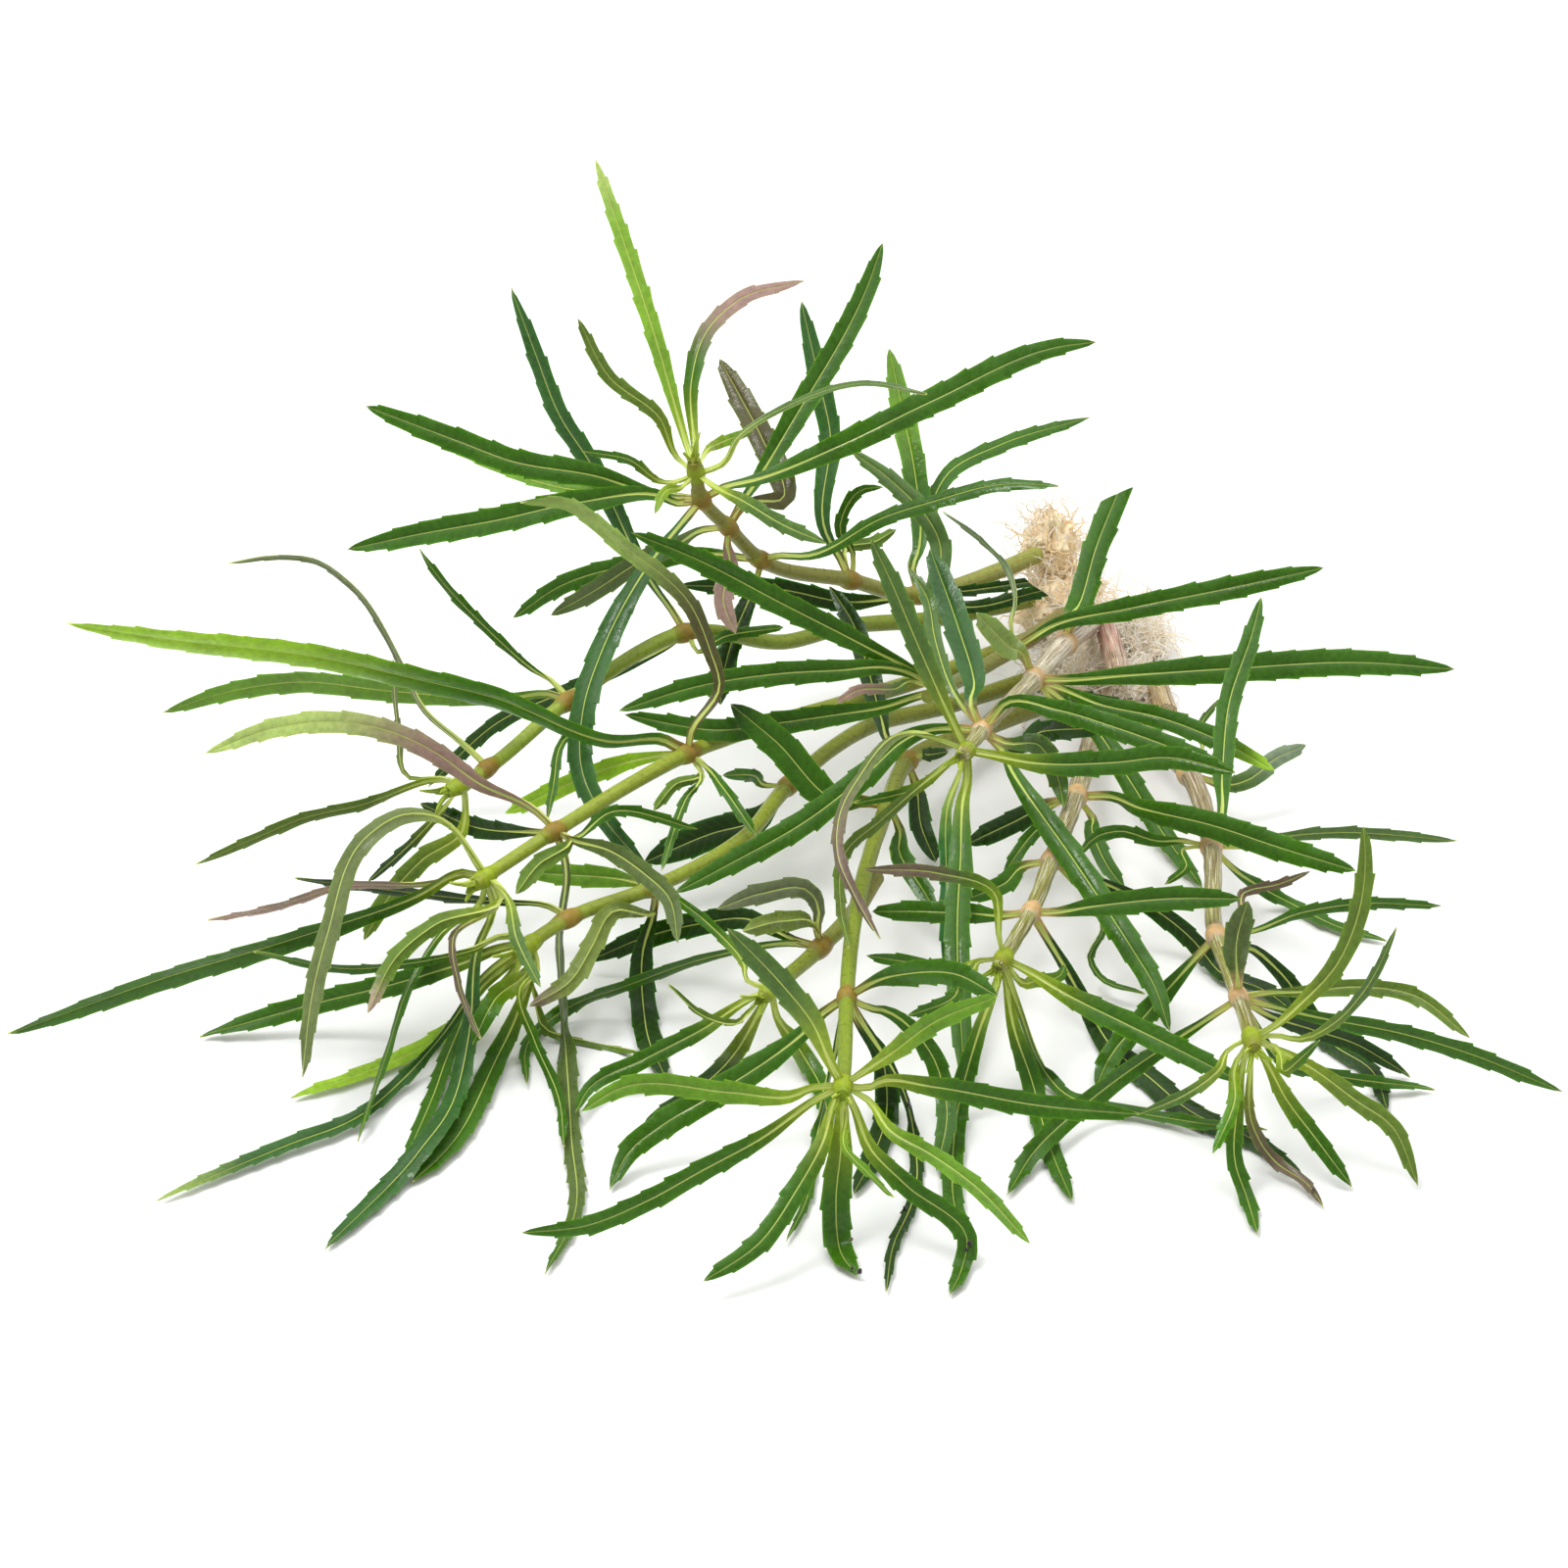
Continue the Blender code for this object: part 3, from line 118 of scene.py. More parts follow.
# Stems as (x, y, depth) from the roots to the growing tip
STEMS = {
    "stem_a": [
        (1058, 566, -100), (1020, 582, -92), (937, 607, -78), (867, 592, -62),
        (776, 571, -42), (743, 538, -32), (716, 509, -24), (710, 482, -18), (708, 470, -16),
    ],
    "stem_b": [
        (1050, 612, -98), (950, 632, -75), (860, 640, -55), (800, 655, -42),
        (698, 646, -25), (579, 716, -12), (496, 785, 0), (470, 801, 4), (458, 806, 5),
    ],
    "stem_c": [
        (1052, 652, -92), (950, 690, -66), (870, 715, -46), (800, 735, -32),
        (702, 769, -8), (565, 849, 15), (494, 896, 24), (484, 903, 26),
    ],
    "stem_d": [
        (1062, 690, -88), (960, 722, -64), (890, 740, -46), (804, 802, -20),
        (755, 858, -2), (668, 905, 12), (579, 938, 20), (540, 964, 26), (532, 971, 27),
    ],
    "stem_e": [
        (1118, 632, -88), (1087, 657, -70), (1055, 693, -46), (1002, 745, -12),
        (986, 766, 2), (981, 772, 6),
    ],
    "stem_f": [
        (1085, 712, -80), (1000, 745, -62), (926, 777, -36), (906, 821, -16),
        (870, 950, 28), (864, 1018, 48), (860, 1108, 74), (859, 1118, 76),
    ],
    "stem_g": [
        (1130, 712, -80), (1115, 752, -60), (1098, 813, -28), (1073, 878, 0),
        (1052, 931, 20), (1024, 978, 38), (1018, 988, 41),
    ],
    "stem_h": [
        (1152, 724, -77), (1182, 760, -58), (1213, 790, -40), (1236, 864, -10),
        (1241, 955, 24), (1264, 1018, 44), (1277, 1060, 56), (1279, 1070, 58),
    ],
    "stem_j": [(893, 895, 2), (868, 935, 12), (837, 967, 18), (786, 1011, 30), (778, 1018, 32)],
    "stem_l": [
        (1085, 628, -92), (1035, 662, -68), (990, 688, -46), (958, 705, -28), (946, 711, -23),
    ],
}
OLD_STEMS = ("stem_e", "stem_g", "stem_h")

# Stubs of stems that were cut, as (x, y, depth) from the roots outwards
STUBS = {
    "stub_pink": [(1130, 645, -86), (1138, 672, -76), (1142, 690, -66)],
    "stub_tan": [(1178, 690, -86), (1184, 710, -79), (1190, 728, -73)],
}

# The root mass as lumps: (x, y, depth), then half its width, height and depth in millimetres
ROOT_LUMPS = [
    ((1072, 556, -106), (6.5, 8.0, 8.0)),
    ((1082, 618, -104), (10.5, 7.5, 10.0)),
    ((1122, 652, -98), (10.0, 8.5, 9.5)),
    ((1160, 660, -100), (8.5, 9.5, 9.0)),
    ((1100, 690, -92), (12.0, 10.5, 9.0)),
    ((1092, 706, -83), (6.5, 5.0, 6.5)),
    ((1148, 708, -85), (7.0, 5.0, 10.5)),
]


def leaf(width, out, *through, cut=False):
    """A leaf: its seen width in picture points, how far its tip comes forward in millimetres,
    and the picture points it runs through, from near its base to its tip."""
    return {"width": width, "out": out, "through": through, "cut": cut}


# Whorls as (stem, which of its points, colours of the leaves, leaves). After > comes the colour of a
# leaf's outer half, and after ~ that of its tip alone.
WHORLS = {
    "whorl_a_tip": ("stem_a", 7, "fresh~cream olive green>pink grey green light light grey", [
        leaf(22, -5, (667, 339), (607, 161)),
        leaf(15, 12, (672, 425), (622, 385), (589, 324)),
        leaf(15, -15, (706, 389), (721, 339), (755, 306), (820, 287)),
        leaf(8, 25, (755, 445), (804, 415), (880, 392), (946, 402)),
        leaf(10, 20, (638, 468), (595, 461)),
        leaf(12, -15, (735, 452), (768, 440)),
        leaf(10, 12, (680, 500), (668, 525)),
        leaf(16, 30, (758, 511), (798, 535), (844, 555)),
    ]),
    "whorl_a4": ("stem_a", 6, "green light green green blue", [
        leaf(27, 8, (605, 485), (520, 470), (472, 452), (372, 414)),
        leaf(14, -20, (572, 498), (454, 457)),
        leaf(27, 20, (672, 506), (589, 513), (506, 531), (423, 546), (353, 561)),
        leaf(28, 0, (771, 490), (857, 455), (952, 409), (1085, 353), (1120, 349)),
        leaf(26, 30, (658, 583), (615, 663), (595, 726), (594, 785), (615, 832), (663, 888)),
    ]),
    "whorl_a3": ("stem_a", 5, "green moss pink brown", [
        leaf(26, -8, (768, 498), (804, 438), (886, 290), (901, 247)),
        leaf(22, -28, (692, 555), (652, 574), (605, 604), (562, 628)),
        leaf(20, 8, (745, 571), (738, 614), (751, 647)),
        leaf(23, -22, (799, 508), (778, 448), (757, 408), (734, 366)),
    ]),
    "whorl_a2": ("stem_a", 4, "green green dark", [
        leaf(22, -18, (738, 566), (652, 575), (572, 598), (523, 631)),
        leaf(17, 15, (820, 568), (903, 528), (953, 512), (1019, 495), (1080, 496)),
        leaf(22, 10, (765, 610), (750, 645), (738, 690), (735, 720)),
    ]),
    "whorl_a1": ("stem_a", 3, "blue green green", [
        leaf(17, -10, (844, 545), (847, 438), (837, 392), (818, 307)),
        leaf(13, 12, (857, 540), (879, 500), (902, 497)),
        leaf(14, -18, (895, 552), (915, 540)),
    ]),
    "whorl_a0": ("stem_a", 2, "dark green>light green dark dark", [
        leaf(22, 18, (860, 614), (800, 602), (692, 597)),
        leaf(18, -12, (938, 560), (933, 479), (923, 429), (907, 355)),
        leaf(18, -26, (942, 545), (969, 482), (1019, 455), (1112, 426)),
        leaf(14, 10, (980, 619), (1063, 603), cut=True),
        leaf(11, -4, (985, 603), (1050, 594), cut=True),
    ]),
    "whorl_l1": ("stem_l", 3, "grey green green green grey>pink", [
        leaf(22, -18, (951, 624), (959, 555), (903, 485), (868, 460)),
        leaf(26, 22, (884, 660), (800, 617), (705, 568), (643, 543)),
        leaf(24, 24, (906, 681), (856, 684), (800, 687), (705, 702), (630, 726)),
        leaf(24, 12, (900, 722), (856, 729), (800, 737), (738, 745), (636, 729)),
        leaf(12, 20, (912, 703), (873, 705), (852, 719)),
    ]),
    # the first leaf is grey-green with a painted sheen
    "whorl_l0": ("stem_l", 1, "silver green", [
        leaf(6, -5, (1036, 611), (1032, 588), (1006, 555), (962, 522)),
        leaf(26, 4, (1069, 641), (1152, 621), (1251, 601), (1352, 579)),
    ]),
    "whorl_e0": ("stem_e", 1, "green", [
        leaf(28, -14, (1102, 615), (1118, 560), (1140, 504), cut=True),
    ]),
    "whorl_e1": ("stem_e", 2, "green pale green~lime dark green", [
        leaf(30, 8, (1152, 689), (1259, 682), (1387, 676), (1486, 683)),
        leaf(25, 16, (1030, 660), (996, 625)),
        leaf(22, 20, (1120, 718), (1186, 733), (1247, 757), (1302, 787)),
        leaf(14, -20, (1096, 711), (1154, 720)),
        leaf(23, 14, (1110, 735), (1150, 792), (1180, 840), (1227, 907)),
    ]),
    "whorl_e2": ("stem_e", 3, "blue grey green dark green green grey", [
        leaf(29, -20, (994, 697), (977, 638), (949, 560)),
        leaf(15, -15, (954, 652), (946, 610), (926, 578)),
        leaf(24, 25, (1024, 719), (1081, 725), (1137, 742), (1261, 788)),
        leaf(22, -30, (1065, 746), (1130, 743)),
        leaf(27, 38, (1033, 787), (1095, 877), (1157, 971), (1178, 1006), (1194, 1054)),
        leaf(26, 32, (926, 753), (884, 790), (828, 834), (738, 885), (687, 912)),
        leaf(22, -10, (1062, 762), (1078, 790), (1086, 825)),
    ]),
    "whorl_e_tip": ("stem_e", 4, "grey green green teal green olive moss>purple", [
        leaf(22, 12, (965, 722), (940, 666), (901, 576), (888, 550)),
        leaf(25, 20, (1052, 778), (1137, 778), (1193, 773), (1262, 789)),
        leaf(25, 30, (982, 821), (980, 877), (977, 933), (984, 1108)),
        leaf(13, 6, (968, 820), (966, 900), (964, 989)),
        leaf(12, -12, (935, 804), (873, 820)),
        leaf(13, 22, (898, 837), (862, 870), (857, 925), (866, 968)),
        leaf(16, 36, (912, 753), (879, 792), (859, 829), (856, 871), (873, 913), (898, 958)),
    ]),
    "whorl_f0": ("stem_f", 2, "dark dark dark", [
        leaf(22, -15, (900, 735), (885, 680), (870, 635), (846, 598)),
        leaf(22, 5, (940, 843), (955, 880)),
        leaf(14, 14, (945, 770), (968, 767)),
    ]),
    "whorl_f1": ("stem_f", 3, "green~dark green", [
        leaf(24, 6, (860, 818), (790, 755), (745, 718)),
        leaf(20, 12, (918, 871), (940, 905), (957, 933)),
    ]),
    "whorl_f2": ("stem_f", 5, "green green green dark green dark", [
        leaf(24, 22, (923, 994), (975, 994), (1019, 1017)),
        leaf(27, 6, (817, 1056), (732, 1115), (673, 1150), (644, 1173), (622, 1214)),
        leaf(20, -10, (900, 1030), (950, 1075), (965, 1120), (956, 1196)),
        leaf(24, -22, (900, 1080), (905, 1130), (893, 1175), (871, 1219)),
        leaf(6, -14, (835, 1150), (820, 1232), (802, 1267)),
        leaf(11, -8, (925, 1125), (934, 1173), (931, 1226), (911, 1273), (904, 1320)),
    ]),
    "whorl_f_tip": ("stem_f", 6, "grey light light green light light green green green green", [
        leaf(24, 10, (829, 1044), (799, 1006), (742, 947)),
        leaf(19, 14, (908, 1076), (952, 1044), (1019, 1016)),
        leaf(20, 16, (805, 1119), (747, 1115), (629, 1112), (592, 1135)),
        leaf(21, 10, (840, 1164), (811, 1217), (776, 1267), (717, 1308)),
        leaf(17, 18, (908, 1153), (952, 1179), (996, 1211), (1052, 1270)),
        leaf(8, 15, (864, 1173), (887, 1197), (912, 1222)),
        leaf(20, 0, (887, 1170), (923, 1208), (987, 1267), (981, 1296), (969, 1321)),
        leaf(27, -5, (858, 1173), (853, 1225), (857, 1276), (875, 1302)),
        leaf(20, 6, (776, 1162), (717, 1194), (659, 1226), (600, 1250), (531, 1258)),
        leaf(22, -12, (899, 1103), (952, 1109), (1060, 1128), (1162, 1137)),
    ]),
    "whorl_j1": ("stem_j", 2, "green dark dusk olive", [
        leaf(13, -5, (811, 965), (741, 972), (637, 1006), (578, 1029), (545, 1056), (537, 1108)),
        leaf(24, -18, (758, 937), (717, 942), (659, 956), (600, 981)),
        leaf(15, 12, (836, 930), (826, 910), (776, 912), (731, 928)),
        leaf(16, 20, (800, 940), (758, 950)),
    ]),
    "whorl_j_tip": ("stem_j", 3, "green dark green green green", [
        leaf(18, 5, (717, 1050), (659, 1080), (600, 1112), (587, 1136)),
        leaf(22, -15, (747, 1079), (708, 1115), (657, 1147)),
        leaf(20, -12, (812, 1065), (838, 1110), (845, 1150)),
        leaf(7, 10, (770, 1035), (747, 1044), (723, 1038), (682, 1005)),
        leaf(12, -20, (760, 985), (720, 940), (684, 912)),
    ]),
    "whorl_g0": ("stem_g", 2, "dark green green green", [
        leaf(24, 6, (1081, 826), (1038, 837), (985, 862)),
        leaf(15, 16, (1070, 834), (1050, 855), (1023, 893)),
        leaf(18, 12, (1114, 846), (1131, 885), (1148, 907)),
        leaf(28, 48, (1165, 825), (1240, 843), (1300, 863), (1385, 889)),
    ]),
    "whorl_g1": ("stem_g", 3, "green dark green", [
        leaf(20, 10, (1024, 902), (985, 918)),
        leaf(20, -4, (1125, 900), (1221, 963), (1244, 992), (1286, 1009), (1340, 1051)),
        leaf(7, 10, (1125, 948), (1111, 979), (1122, 998), (1168, 1014)),
    ]),
    "whorl_g2": ("stem_g", 4, "green green dark", [
        leaf(24, 6, (1114, 925), (1194, 917), (1267, 917)),
        leaf(22, -12, (990, 932), (937, 930), (890, 930)),
        leaf(23, -5, (1087, 987), (1135, 1069), (1173, 1100), (1221, 1138), (1275, 1161), (1330, 1200)),
    ]),
    "whorl_g_tip": ("stem_g", 5, "green>purple green green green green green green green", [
        leaf(14, 8, (1028, 942), (1015, 912), (957, 891), (880, 887)),
        leaf(14, -12, (1060, 1000), (1082, 995), (1087, 984)),
        leaf(24, 14, (1087, 1014), (1141, 1041), (1194, 1067), (1269, 1105)),
        leaf(21, -12, (1034, 1046), (1052, 1100), (1068, 1161), (1094, 1226)),
        leaf(9, -18, (1043, 1035), (1060, 1081), (1082, 1113), (1151, 1134), (1293, 1153)),
        leaf(15, 12, (990, 991), (923, 981), (883, 975)),
        leaf(14, 22, (970, 1020), (925, 1037)),
        leaf(21, 8, (1000, 1050), (978, 1130), (972, 1188), (976, 1238), (987, 1265)),
    ]),
    # the first leaf's outer half is grey-green with a painted sheen
    "whorl_h0": ("stem_h", 2, "grey>silver grey", [
        leaf(20, -5, (1250, 801), (1275, 795), (1300, 775), (1333, 760)),
        leaf(8, -10, (1222, 745), (1244, 713)),
    ]),
    "whorl_h1": ("stem_h", 3, "green grey green green green", [
        leaf(14, 12, (1180, 858), (1140, 848), (1115, 856), (1100, 875)),
        leaf(13, -10, (1306, 854), (1370, 849), (1427, 852), (1487, 858)),
        leaf(17, -22, (1286, 905), (1328, 928), (1370, 948), (1415, 960)),
        leaf(23, -25, (1247, 791), (1254, 718), (1278, 645), (1287, 609)),
        leaf(10, 15, (1210, 885), (1188, 903)),
    ]),
    "whorl_h2": ("stem_h", 4, "green dark purple green", [
        leaf(22, -5, (1200, 1000), (1165, 1040), (1140, 1068), (1118, 1110)),
        leaf(20, -18, (1275, 967), (1306, 992), (1356, 1063), (1398, 1091), (1416, 1134)),
        leaf(10, -15, (1269, 911), (1305, 902), (1337, 889)),
        leaf(13, -8, (1275, 948), (1328, 931), (1385, 922), (1471, 924)),
    ]),
    "whorl_h3": ("stem_h", 5, "moss olive green green dark green", [
        leaf(25, 15, (1262, 960), (1273, 919)),
        leaf(16, 12, (1328, 1012), (1385, 1007), (1441, 1015), (1501, 1060)),
        leaf(18, -6, (1328, 1034), (1441, 1057), (1497, 1074), (1595, 1114)),
        leaf(20, -5, (1200, 1060), (1114, 1121), (1068, 1161), (1028, 1219)),
        leaf(18, -20, (1340, 1051), (1385, 1066), (1439, 1099)),
        leaf(13, -18, (1311, 1085), (1356, 1096), (1464, 1112)),
    ]),
    "whorl_h_tip": ("stem_h", 6, "olive grey green olive green green bright grey purple", [
        leaf(19, 5, (1328, 1023), (1362, 987), (1385, 936), (1393, 880), (1391, 842)),
        leaf(11, 10, (1328, 1060), (1362, 1043), (1393, 1009), (1425, 946)),
        leaf(12, 12, (1311, 1093), (1328, 1079), (1347, 1061)),
        leaf(18, 0, (1340, 1091), (1385, 1124), (1418, 1147), (1447, 1210)),
        leaf(18, 0, (1314, 1124), (1342, 1161), (1379, 1211)),
        leaf(16, 3, (1262, 1133), (1260, 1185), (1272, 1222), (1283, 1259)),
        leaf(13, 10, (1259, 1126), (1237, 1178)),
        leaf(12, 12, (1244, 1091), (1216, 1113), (1160, 1138)),
        leaf(12, -5, (1278, 1147), (1304, 1188), (1328, 1204), (1350, 1231)),
    ]),
    "whorl_b0": ("stem_b", 4, "blue green dark", [
        leaf(21, -5, (668, 598), (602, 471), (572, 425), (546, 359), (522, 294)),
        leaf(12, -8, (738, 650), (800, 640)),
        leaf(18, -20, (640, 680), (580, 705), (506, 739), (455, 785), (437, 803)),
    ]),
    "whorl_b1": ("stem_b", 5, "green green light", [
        leaf(11, 6, (539, 679), (499, 643), (446, 586), (428, 560)),
        leaf(10, 14, (572, 760), (565, 800), (558, 838)),
        leaf(22, -15, (520, 712), (400, 705), (298, 696), (232, 706), (166, 727)),
    ]),
    "whorl_b2": ("stem_b", 6, "dusk", [
        leaf(10, 8, (429, 719), (410, 679), (357, 596), (322, 572), (282, 568), (234, 575)),
    ]),
    "whorl_b_tip": ("stem_b", 7, "dusk olive olive dark", [
        leaf(9, -12, (416, 792), (407, 746), (401, 673)),
        leaf(12, 5, (365, 822), (308, 835), (265, 853), (200, 882)),
        leaf(20, -5, (473, 845), (430, 878), (390, 925), (371, 960)),
        leaf(10, -15, (420, 860), (375, 900)),
    ]),
    "whorl_c0": ("stem_c", 4, "bright>lime lime green green green brown>pale", [
        leaf(24, 30, (622, 756), (506, 712), (423, 692), (340, 673), (149, 649), (69, 636)),
        leaf(20, -14, (650, 775), (605, 790), (515, 830)),
        leaf(12, 12, (690, 800), (667, 827)),
        leaf(10, 18, (700, 815), (675, 889)),
        leaf(12, 15, (735, 800), (772, 853)),
        leaf(18, 8, (735, 700), (725, 663), (705, 617), (638, 558), (572, 512), (531, 513)),
    ]),
    "whorl_c1": ("stem_c", 5, "pink>cream moss moss~green dark green green", [
        leaf(22, 14, (489, 799), (440, 765), (398, 746), (332, 736), (282, 742), (208, 769)),
        leaf(26, 25, (622, 868), (658, 892), (682, 915), (692, 963)),
        leaf(13, 20, (571, 960), (577, 1059), (583, 1158), (586, 1241), (556, 1300)),
        leaf(20, -22, (489, 845), (429, 820)),
        leaf(18, 18, (550, 882), (527, 912)),
        leaf(12, -10, (625, 828), (712, 846)),
    ]),
    "whorl_c_tip": ("stem_c", 6, "moss green pink green~pink green purple blue grey", [
        leaf(21, 25, (446, 835), (414, 832), (375, 855), (335, 955), (322, 1004), (309, 1099)),
        leaf(20, 15, (423, 915), (298, 958), (166, 998), (8, 1055)),
        leaf(9, -14, (445, 900), (345, 905), (282, 925), (212, 939)),
        leaf(17, 22, (445, 943), (405, 976), (375, 1034)),
        leaf(9, 10, (448, 956), (418, 1006), (395, 1076), (365, 1165)),
        leaf(8, 20, (464, 955), (469, 1004), (490, 1060)),
        leaf(25, 12, (486, 976), (481, 1042), (468, 1109), (428, 1175), (332, 1274)),
        leaf(13, 25, (528, 960), (552, 1008)),
    ]),
    "whorl_d0": ("stem_d", 3, "dark green", [
        leaf(24, 6, (770, 838), (728, 850), (657, 880)),
        leaf(14, -12, (770, 792), (738, 791)),
    ]),
    "whorl_d1": ("stem_d", 5, "dark olive~purple light", [
        leaf(26, -8, (656, 971), (658, 1041), (679, 1101)),
        leaf(20, 18, (624, 931), (603, 968), (583, 1000), (540, 1027)),
        leaf(22, -12, (640, 895), (537, 890)),
    ]),
    "whorl_d2": ("stem_d", 6, "dark", [
        leaf(11, -10, (511, 920), (460, 915), (375, 905), (301, 896)),
    ]),
    "whorl_d_tip": ("stem_d", 7, "green green lime blue~pale green green green green green", [
        leaf(10, 5, (478, 970), (412, 983), (362, 988), (259, 971)),
        leaf(23, -12, (462, 986), (395, 1006), (329, 1022), (204, 1058)),
        leaf(18, -22, (500, 1020), (448, 1059), (362, 1099), (297, 1120)),
        leaf(17, 5, (500, 990), (448, 1059), (362, 1142), (296, 1168), (160, 1225)),
        leaf(16, -15, (490, 1010), (462, 1066), (442, 1119), (412, 1187)),
        leaf(24, -5, (530, 1030), (508, 1078), (445, 1185), (421, 1206)),
        leaf(20, 5, (505, 1020), (482, 1066)),
        leaf(12, 8, (531, 1009), (545, 1059), (568, 1112), (576, 1170)),
        leaf(8, -20, (545, 1010), (560, 1052), (600, 1064), (655, 1074)),
    ]),
}

SHARP_ANGLE = math.radians(50)  # edges that turn by less are shaded smooth

# The fine leaf, seen across: places of its upper and lower points, from edge to edge
TOP_ACROSS = np.array([-1.0, -0.7, -0.34, -0.09, 0.0, 0.09, 0.34, 0.7, 1.0])
UNDER_ACROSS = np.array([0.62, 0.2, 0.0, -0.2, -0.62])
LEAF_MIDDLE_THICKNESS = 0.32 * MM
LEAF_MARGIN_THICKNESS = 0.16 * MM
LEAF_THICKENING = 0.3 * MM  # towards its base
LEAF_RISE = 0.16 * MM  # of its upper face above the midline
RIB_DEPTH = 0.34 * MM  # how far the midrib stands out below, at the base
RIB_TIP_DEPTH = 0.08 * MM
RIB_LINE = 0.11 * MM  # half the width of the pale line along the midrib
GROOVE_DEPTH = 0.1 * MM
FOLDS = (0.05, 0.3)  # how far a leaf's halves rise to their edges, for their width
ROLLS = (0.05, 0.3)  # how far the edges roll back down
WAVES = (0.03, 0.13)  # height of the waves along the edges, in millimetres
WAVE_PITCHES = (7, 12)  # in millimetres
CUT_SLANTS = (0.6, 1.6)  # how far a cut end slants, for its half width

# The fine leaf along its length
LEAF_STEP = 1.6 * MM  # between two sections where nothing else asks for one
LEAST_SECTIONS = 14
TIP_SECTIONS = [0.985, 0.995]  # shares of the length
BASE_SINK = 0.8 * MM  # how far a leaf runs into its node
BROAD_LEAF = 20 * PIXEL  # seen width
NARROW_LEAF = 10 * PIXEL
BROAD_SPREAD = 0.98  # width of a broad leaf as a share of its solid's
NARROW_SPREAD = 0.88
TOOTH_PITCH = 5.4 * MM
TOOTH_DEPTH = 0.37 * MM
TOOTH_STEP = 0.14 * MM  # from the point of a tooth to the notch after it
TOOTH_HOLLOW = 2.3  # power by which a tooth's back curves up to its point
FIRST_TOOTH = (0.24, 0.32)  # share of the length
LAST_TOOTH = 0.965
PITCH_SHARES = (0.7, 1.35)
DEPTH_SHARES = (0.55, 1.25)

# Leaves that look narrower or broader in the picture than the rest, and by how much
FITTED = {
    ("whorl_b2", 0): 0.6, ("whorl_b_tip", 0): 0.7, ("whorl_a_tip", 0): 0.8, ("whorl_a_tip", 2): 1.25,
    ("whorl_a0", 1): 1.5, ("whorl_c1", 1): 0.75, ("whorl_a1", 0): 1.4, ("whorl_d_tip", 3): 0.65,
    ("whorl_c_tip", 6): 0.85, ("whorl_e_tip", 6): 0.75, ("whorl_f1", 0): 1.4, ("whorl_d0", 0): 1.4,
    ("whorl_a3", 3): 1.2, ("whorl_j1", 2): 1.4, ("whorl_j1", 3): 1.3,
}

# Young leaves at a growing tip
YOUNG_LEAVES = 4
YOUNG_TURN = 2.4  # radians round the stem from one to the next
YOUNG_LENGTH = 5.5  # millimetres, the outermost; each next one is a millimetre shorter
YOUNG_HALF_WIDTH = 0.6 * MM
YOUNG_STATIONS = 17

# Stalks and their nodes
STALK_SPREAD = 1.16  # radius of a stalk as a share of its solid's
STALK_SIDES = 16
STALK_STEP = 0.9 * MM
STALK_SWELLING = 0.25 * MM
SWELLING_REACH = 1.7 * MM
NODE_SIDES = 18
NODE_ROWS = 15
NODE_REACH = 3.0 * MM
NODE_SWELLING = 0.62 * MM
NODE_SINK = 0.16 * MM  # of its ends below the stalk's skin
OLD_ROUGHNESS = 0.22 * MM
STUB_ROUGHNESS = 0.2 * MM
GREEN_ROUGHNESS = 0.07 * MM

# Roots: the first lumps, at the top, are tan, and the others are pale
TAN_LUMPS = 2
CORE_SIZES = (0.56, 0.68)  # share of a lump that its core fills: pale lumps, then tan ones
LEAST_CORE = 0.42
CORE_GRID = (16, 24, 0.06)  # rings, points in each, and radians that the poles are short of
CORE_FLOOR = 0.1 * MM  # lowest height of a core, and below it of a fibre
FIBRE_FLOOR = 0.25 * MM
FIBRES = 1500
FIBRE_STEPS = 8
FIBRE_LENGTHS = (4, 12)  # millimetres
FIBRE_RADII = (0.08, 0.2)  # millimetres
FIBRE_STARTS = (0.55, 0.85)  # share of the way out of a lump
LOW_LUMP = 8 * MM  # no fibre starts downwards from a lump whose middle is lower

# Crumbs of soil: place in the picture and size in picture points
CRUMBS = [
    (925, 1128, 6), (923, 1234, 4), (868, 1267, 4), (877, 1299, 6),
    (870, 1296, 4), (989, 1269, 6), (986, 1275, 4), (1340, 1215, 4),
]
CRUMB_CHOICE = 4.0  # of the leaf points this near to the nearest, the foremost is taken
CRUMB_RISE = 0.3 * MM
CRUMB_GRID = (6, 8, 0.2)

# Colours as seen in daylight, 0 to 255; those of leaves are for the upper face, then the lower one
LEAF_COLOURS = {
    "green": ((56, 100, 12), (92, 120, 38)),
    "dark": ((30, 60, 6), (60, 86, 24)),
    "bright": ((68, 122, 14), (106, 140, 40)),
    "light": ((98, 140, 32), (120, 146, 52)),
    "lime": ((150, 190, 44), (166, 198, 66)),
    "fresh": ((126, 166, 52), (146, 174, 72)),
    "pale": ((150, 174, 92), (166, 182, 116)),
    "cream": ((186, 206, 118), (196, 210, 140)),
    # grey-green lightened with a painted sheen, which stands in for a whitish reflection of the lamps
    "silver": ((128, 146, 118), (156, 170, 146)),
    "grey": ((80, 110, 48), (106, 126, 70)),
    "blue": ((50, 92, 36), (84, 114, 60)),
    "teal": ((56, 112, 56), (94, 130, 76)),
    "olive": ((94, 118, 40), (116, 132, 60)),
    "moss": ((80, 98, 44), (98, 112, 62)),
    "dusk": ((100, 108, 76), (118, 124, 96)),
    "brown": ((82, 78, 42), (100, 90, 58)),
    "purple": ((102, 86, 70), (122, 104, 92)),
    "pink": ((152, 122, 112), (168, 140, 130)),
}
VEIN_COLOUR = (120, 150, 80)
RIB_COLOUR = (204, 216, 118)
PALE_FIBRES = [(255, 250, 240), (255, 246, 228), (253, 240, 214), (255, 249, 238), (251, 228, 192)]
TAN_FIBRES = [(252, 240, 216), (246, 222, 180), (240, 204, 150), (254, 246, 230)]
PALE_CORE = (255, 244, 222)
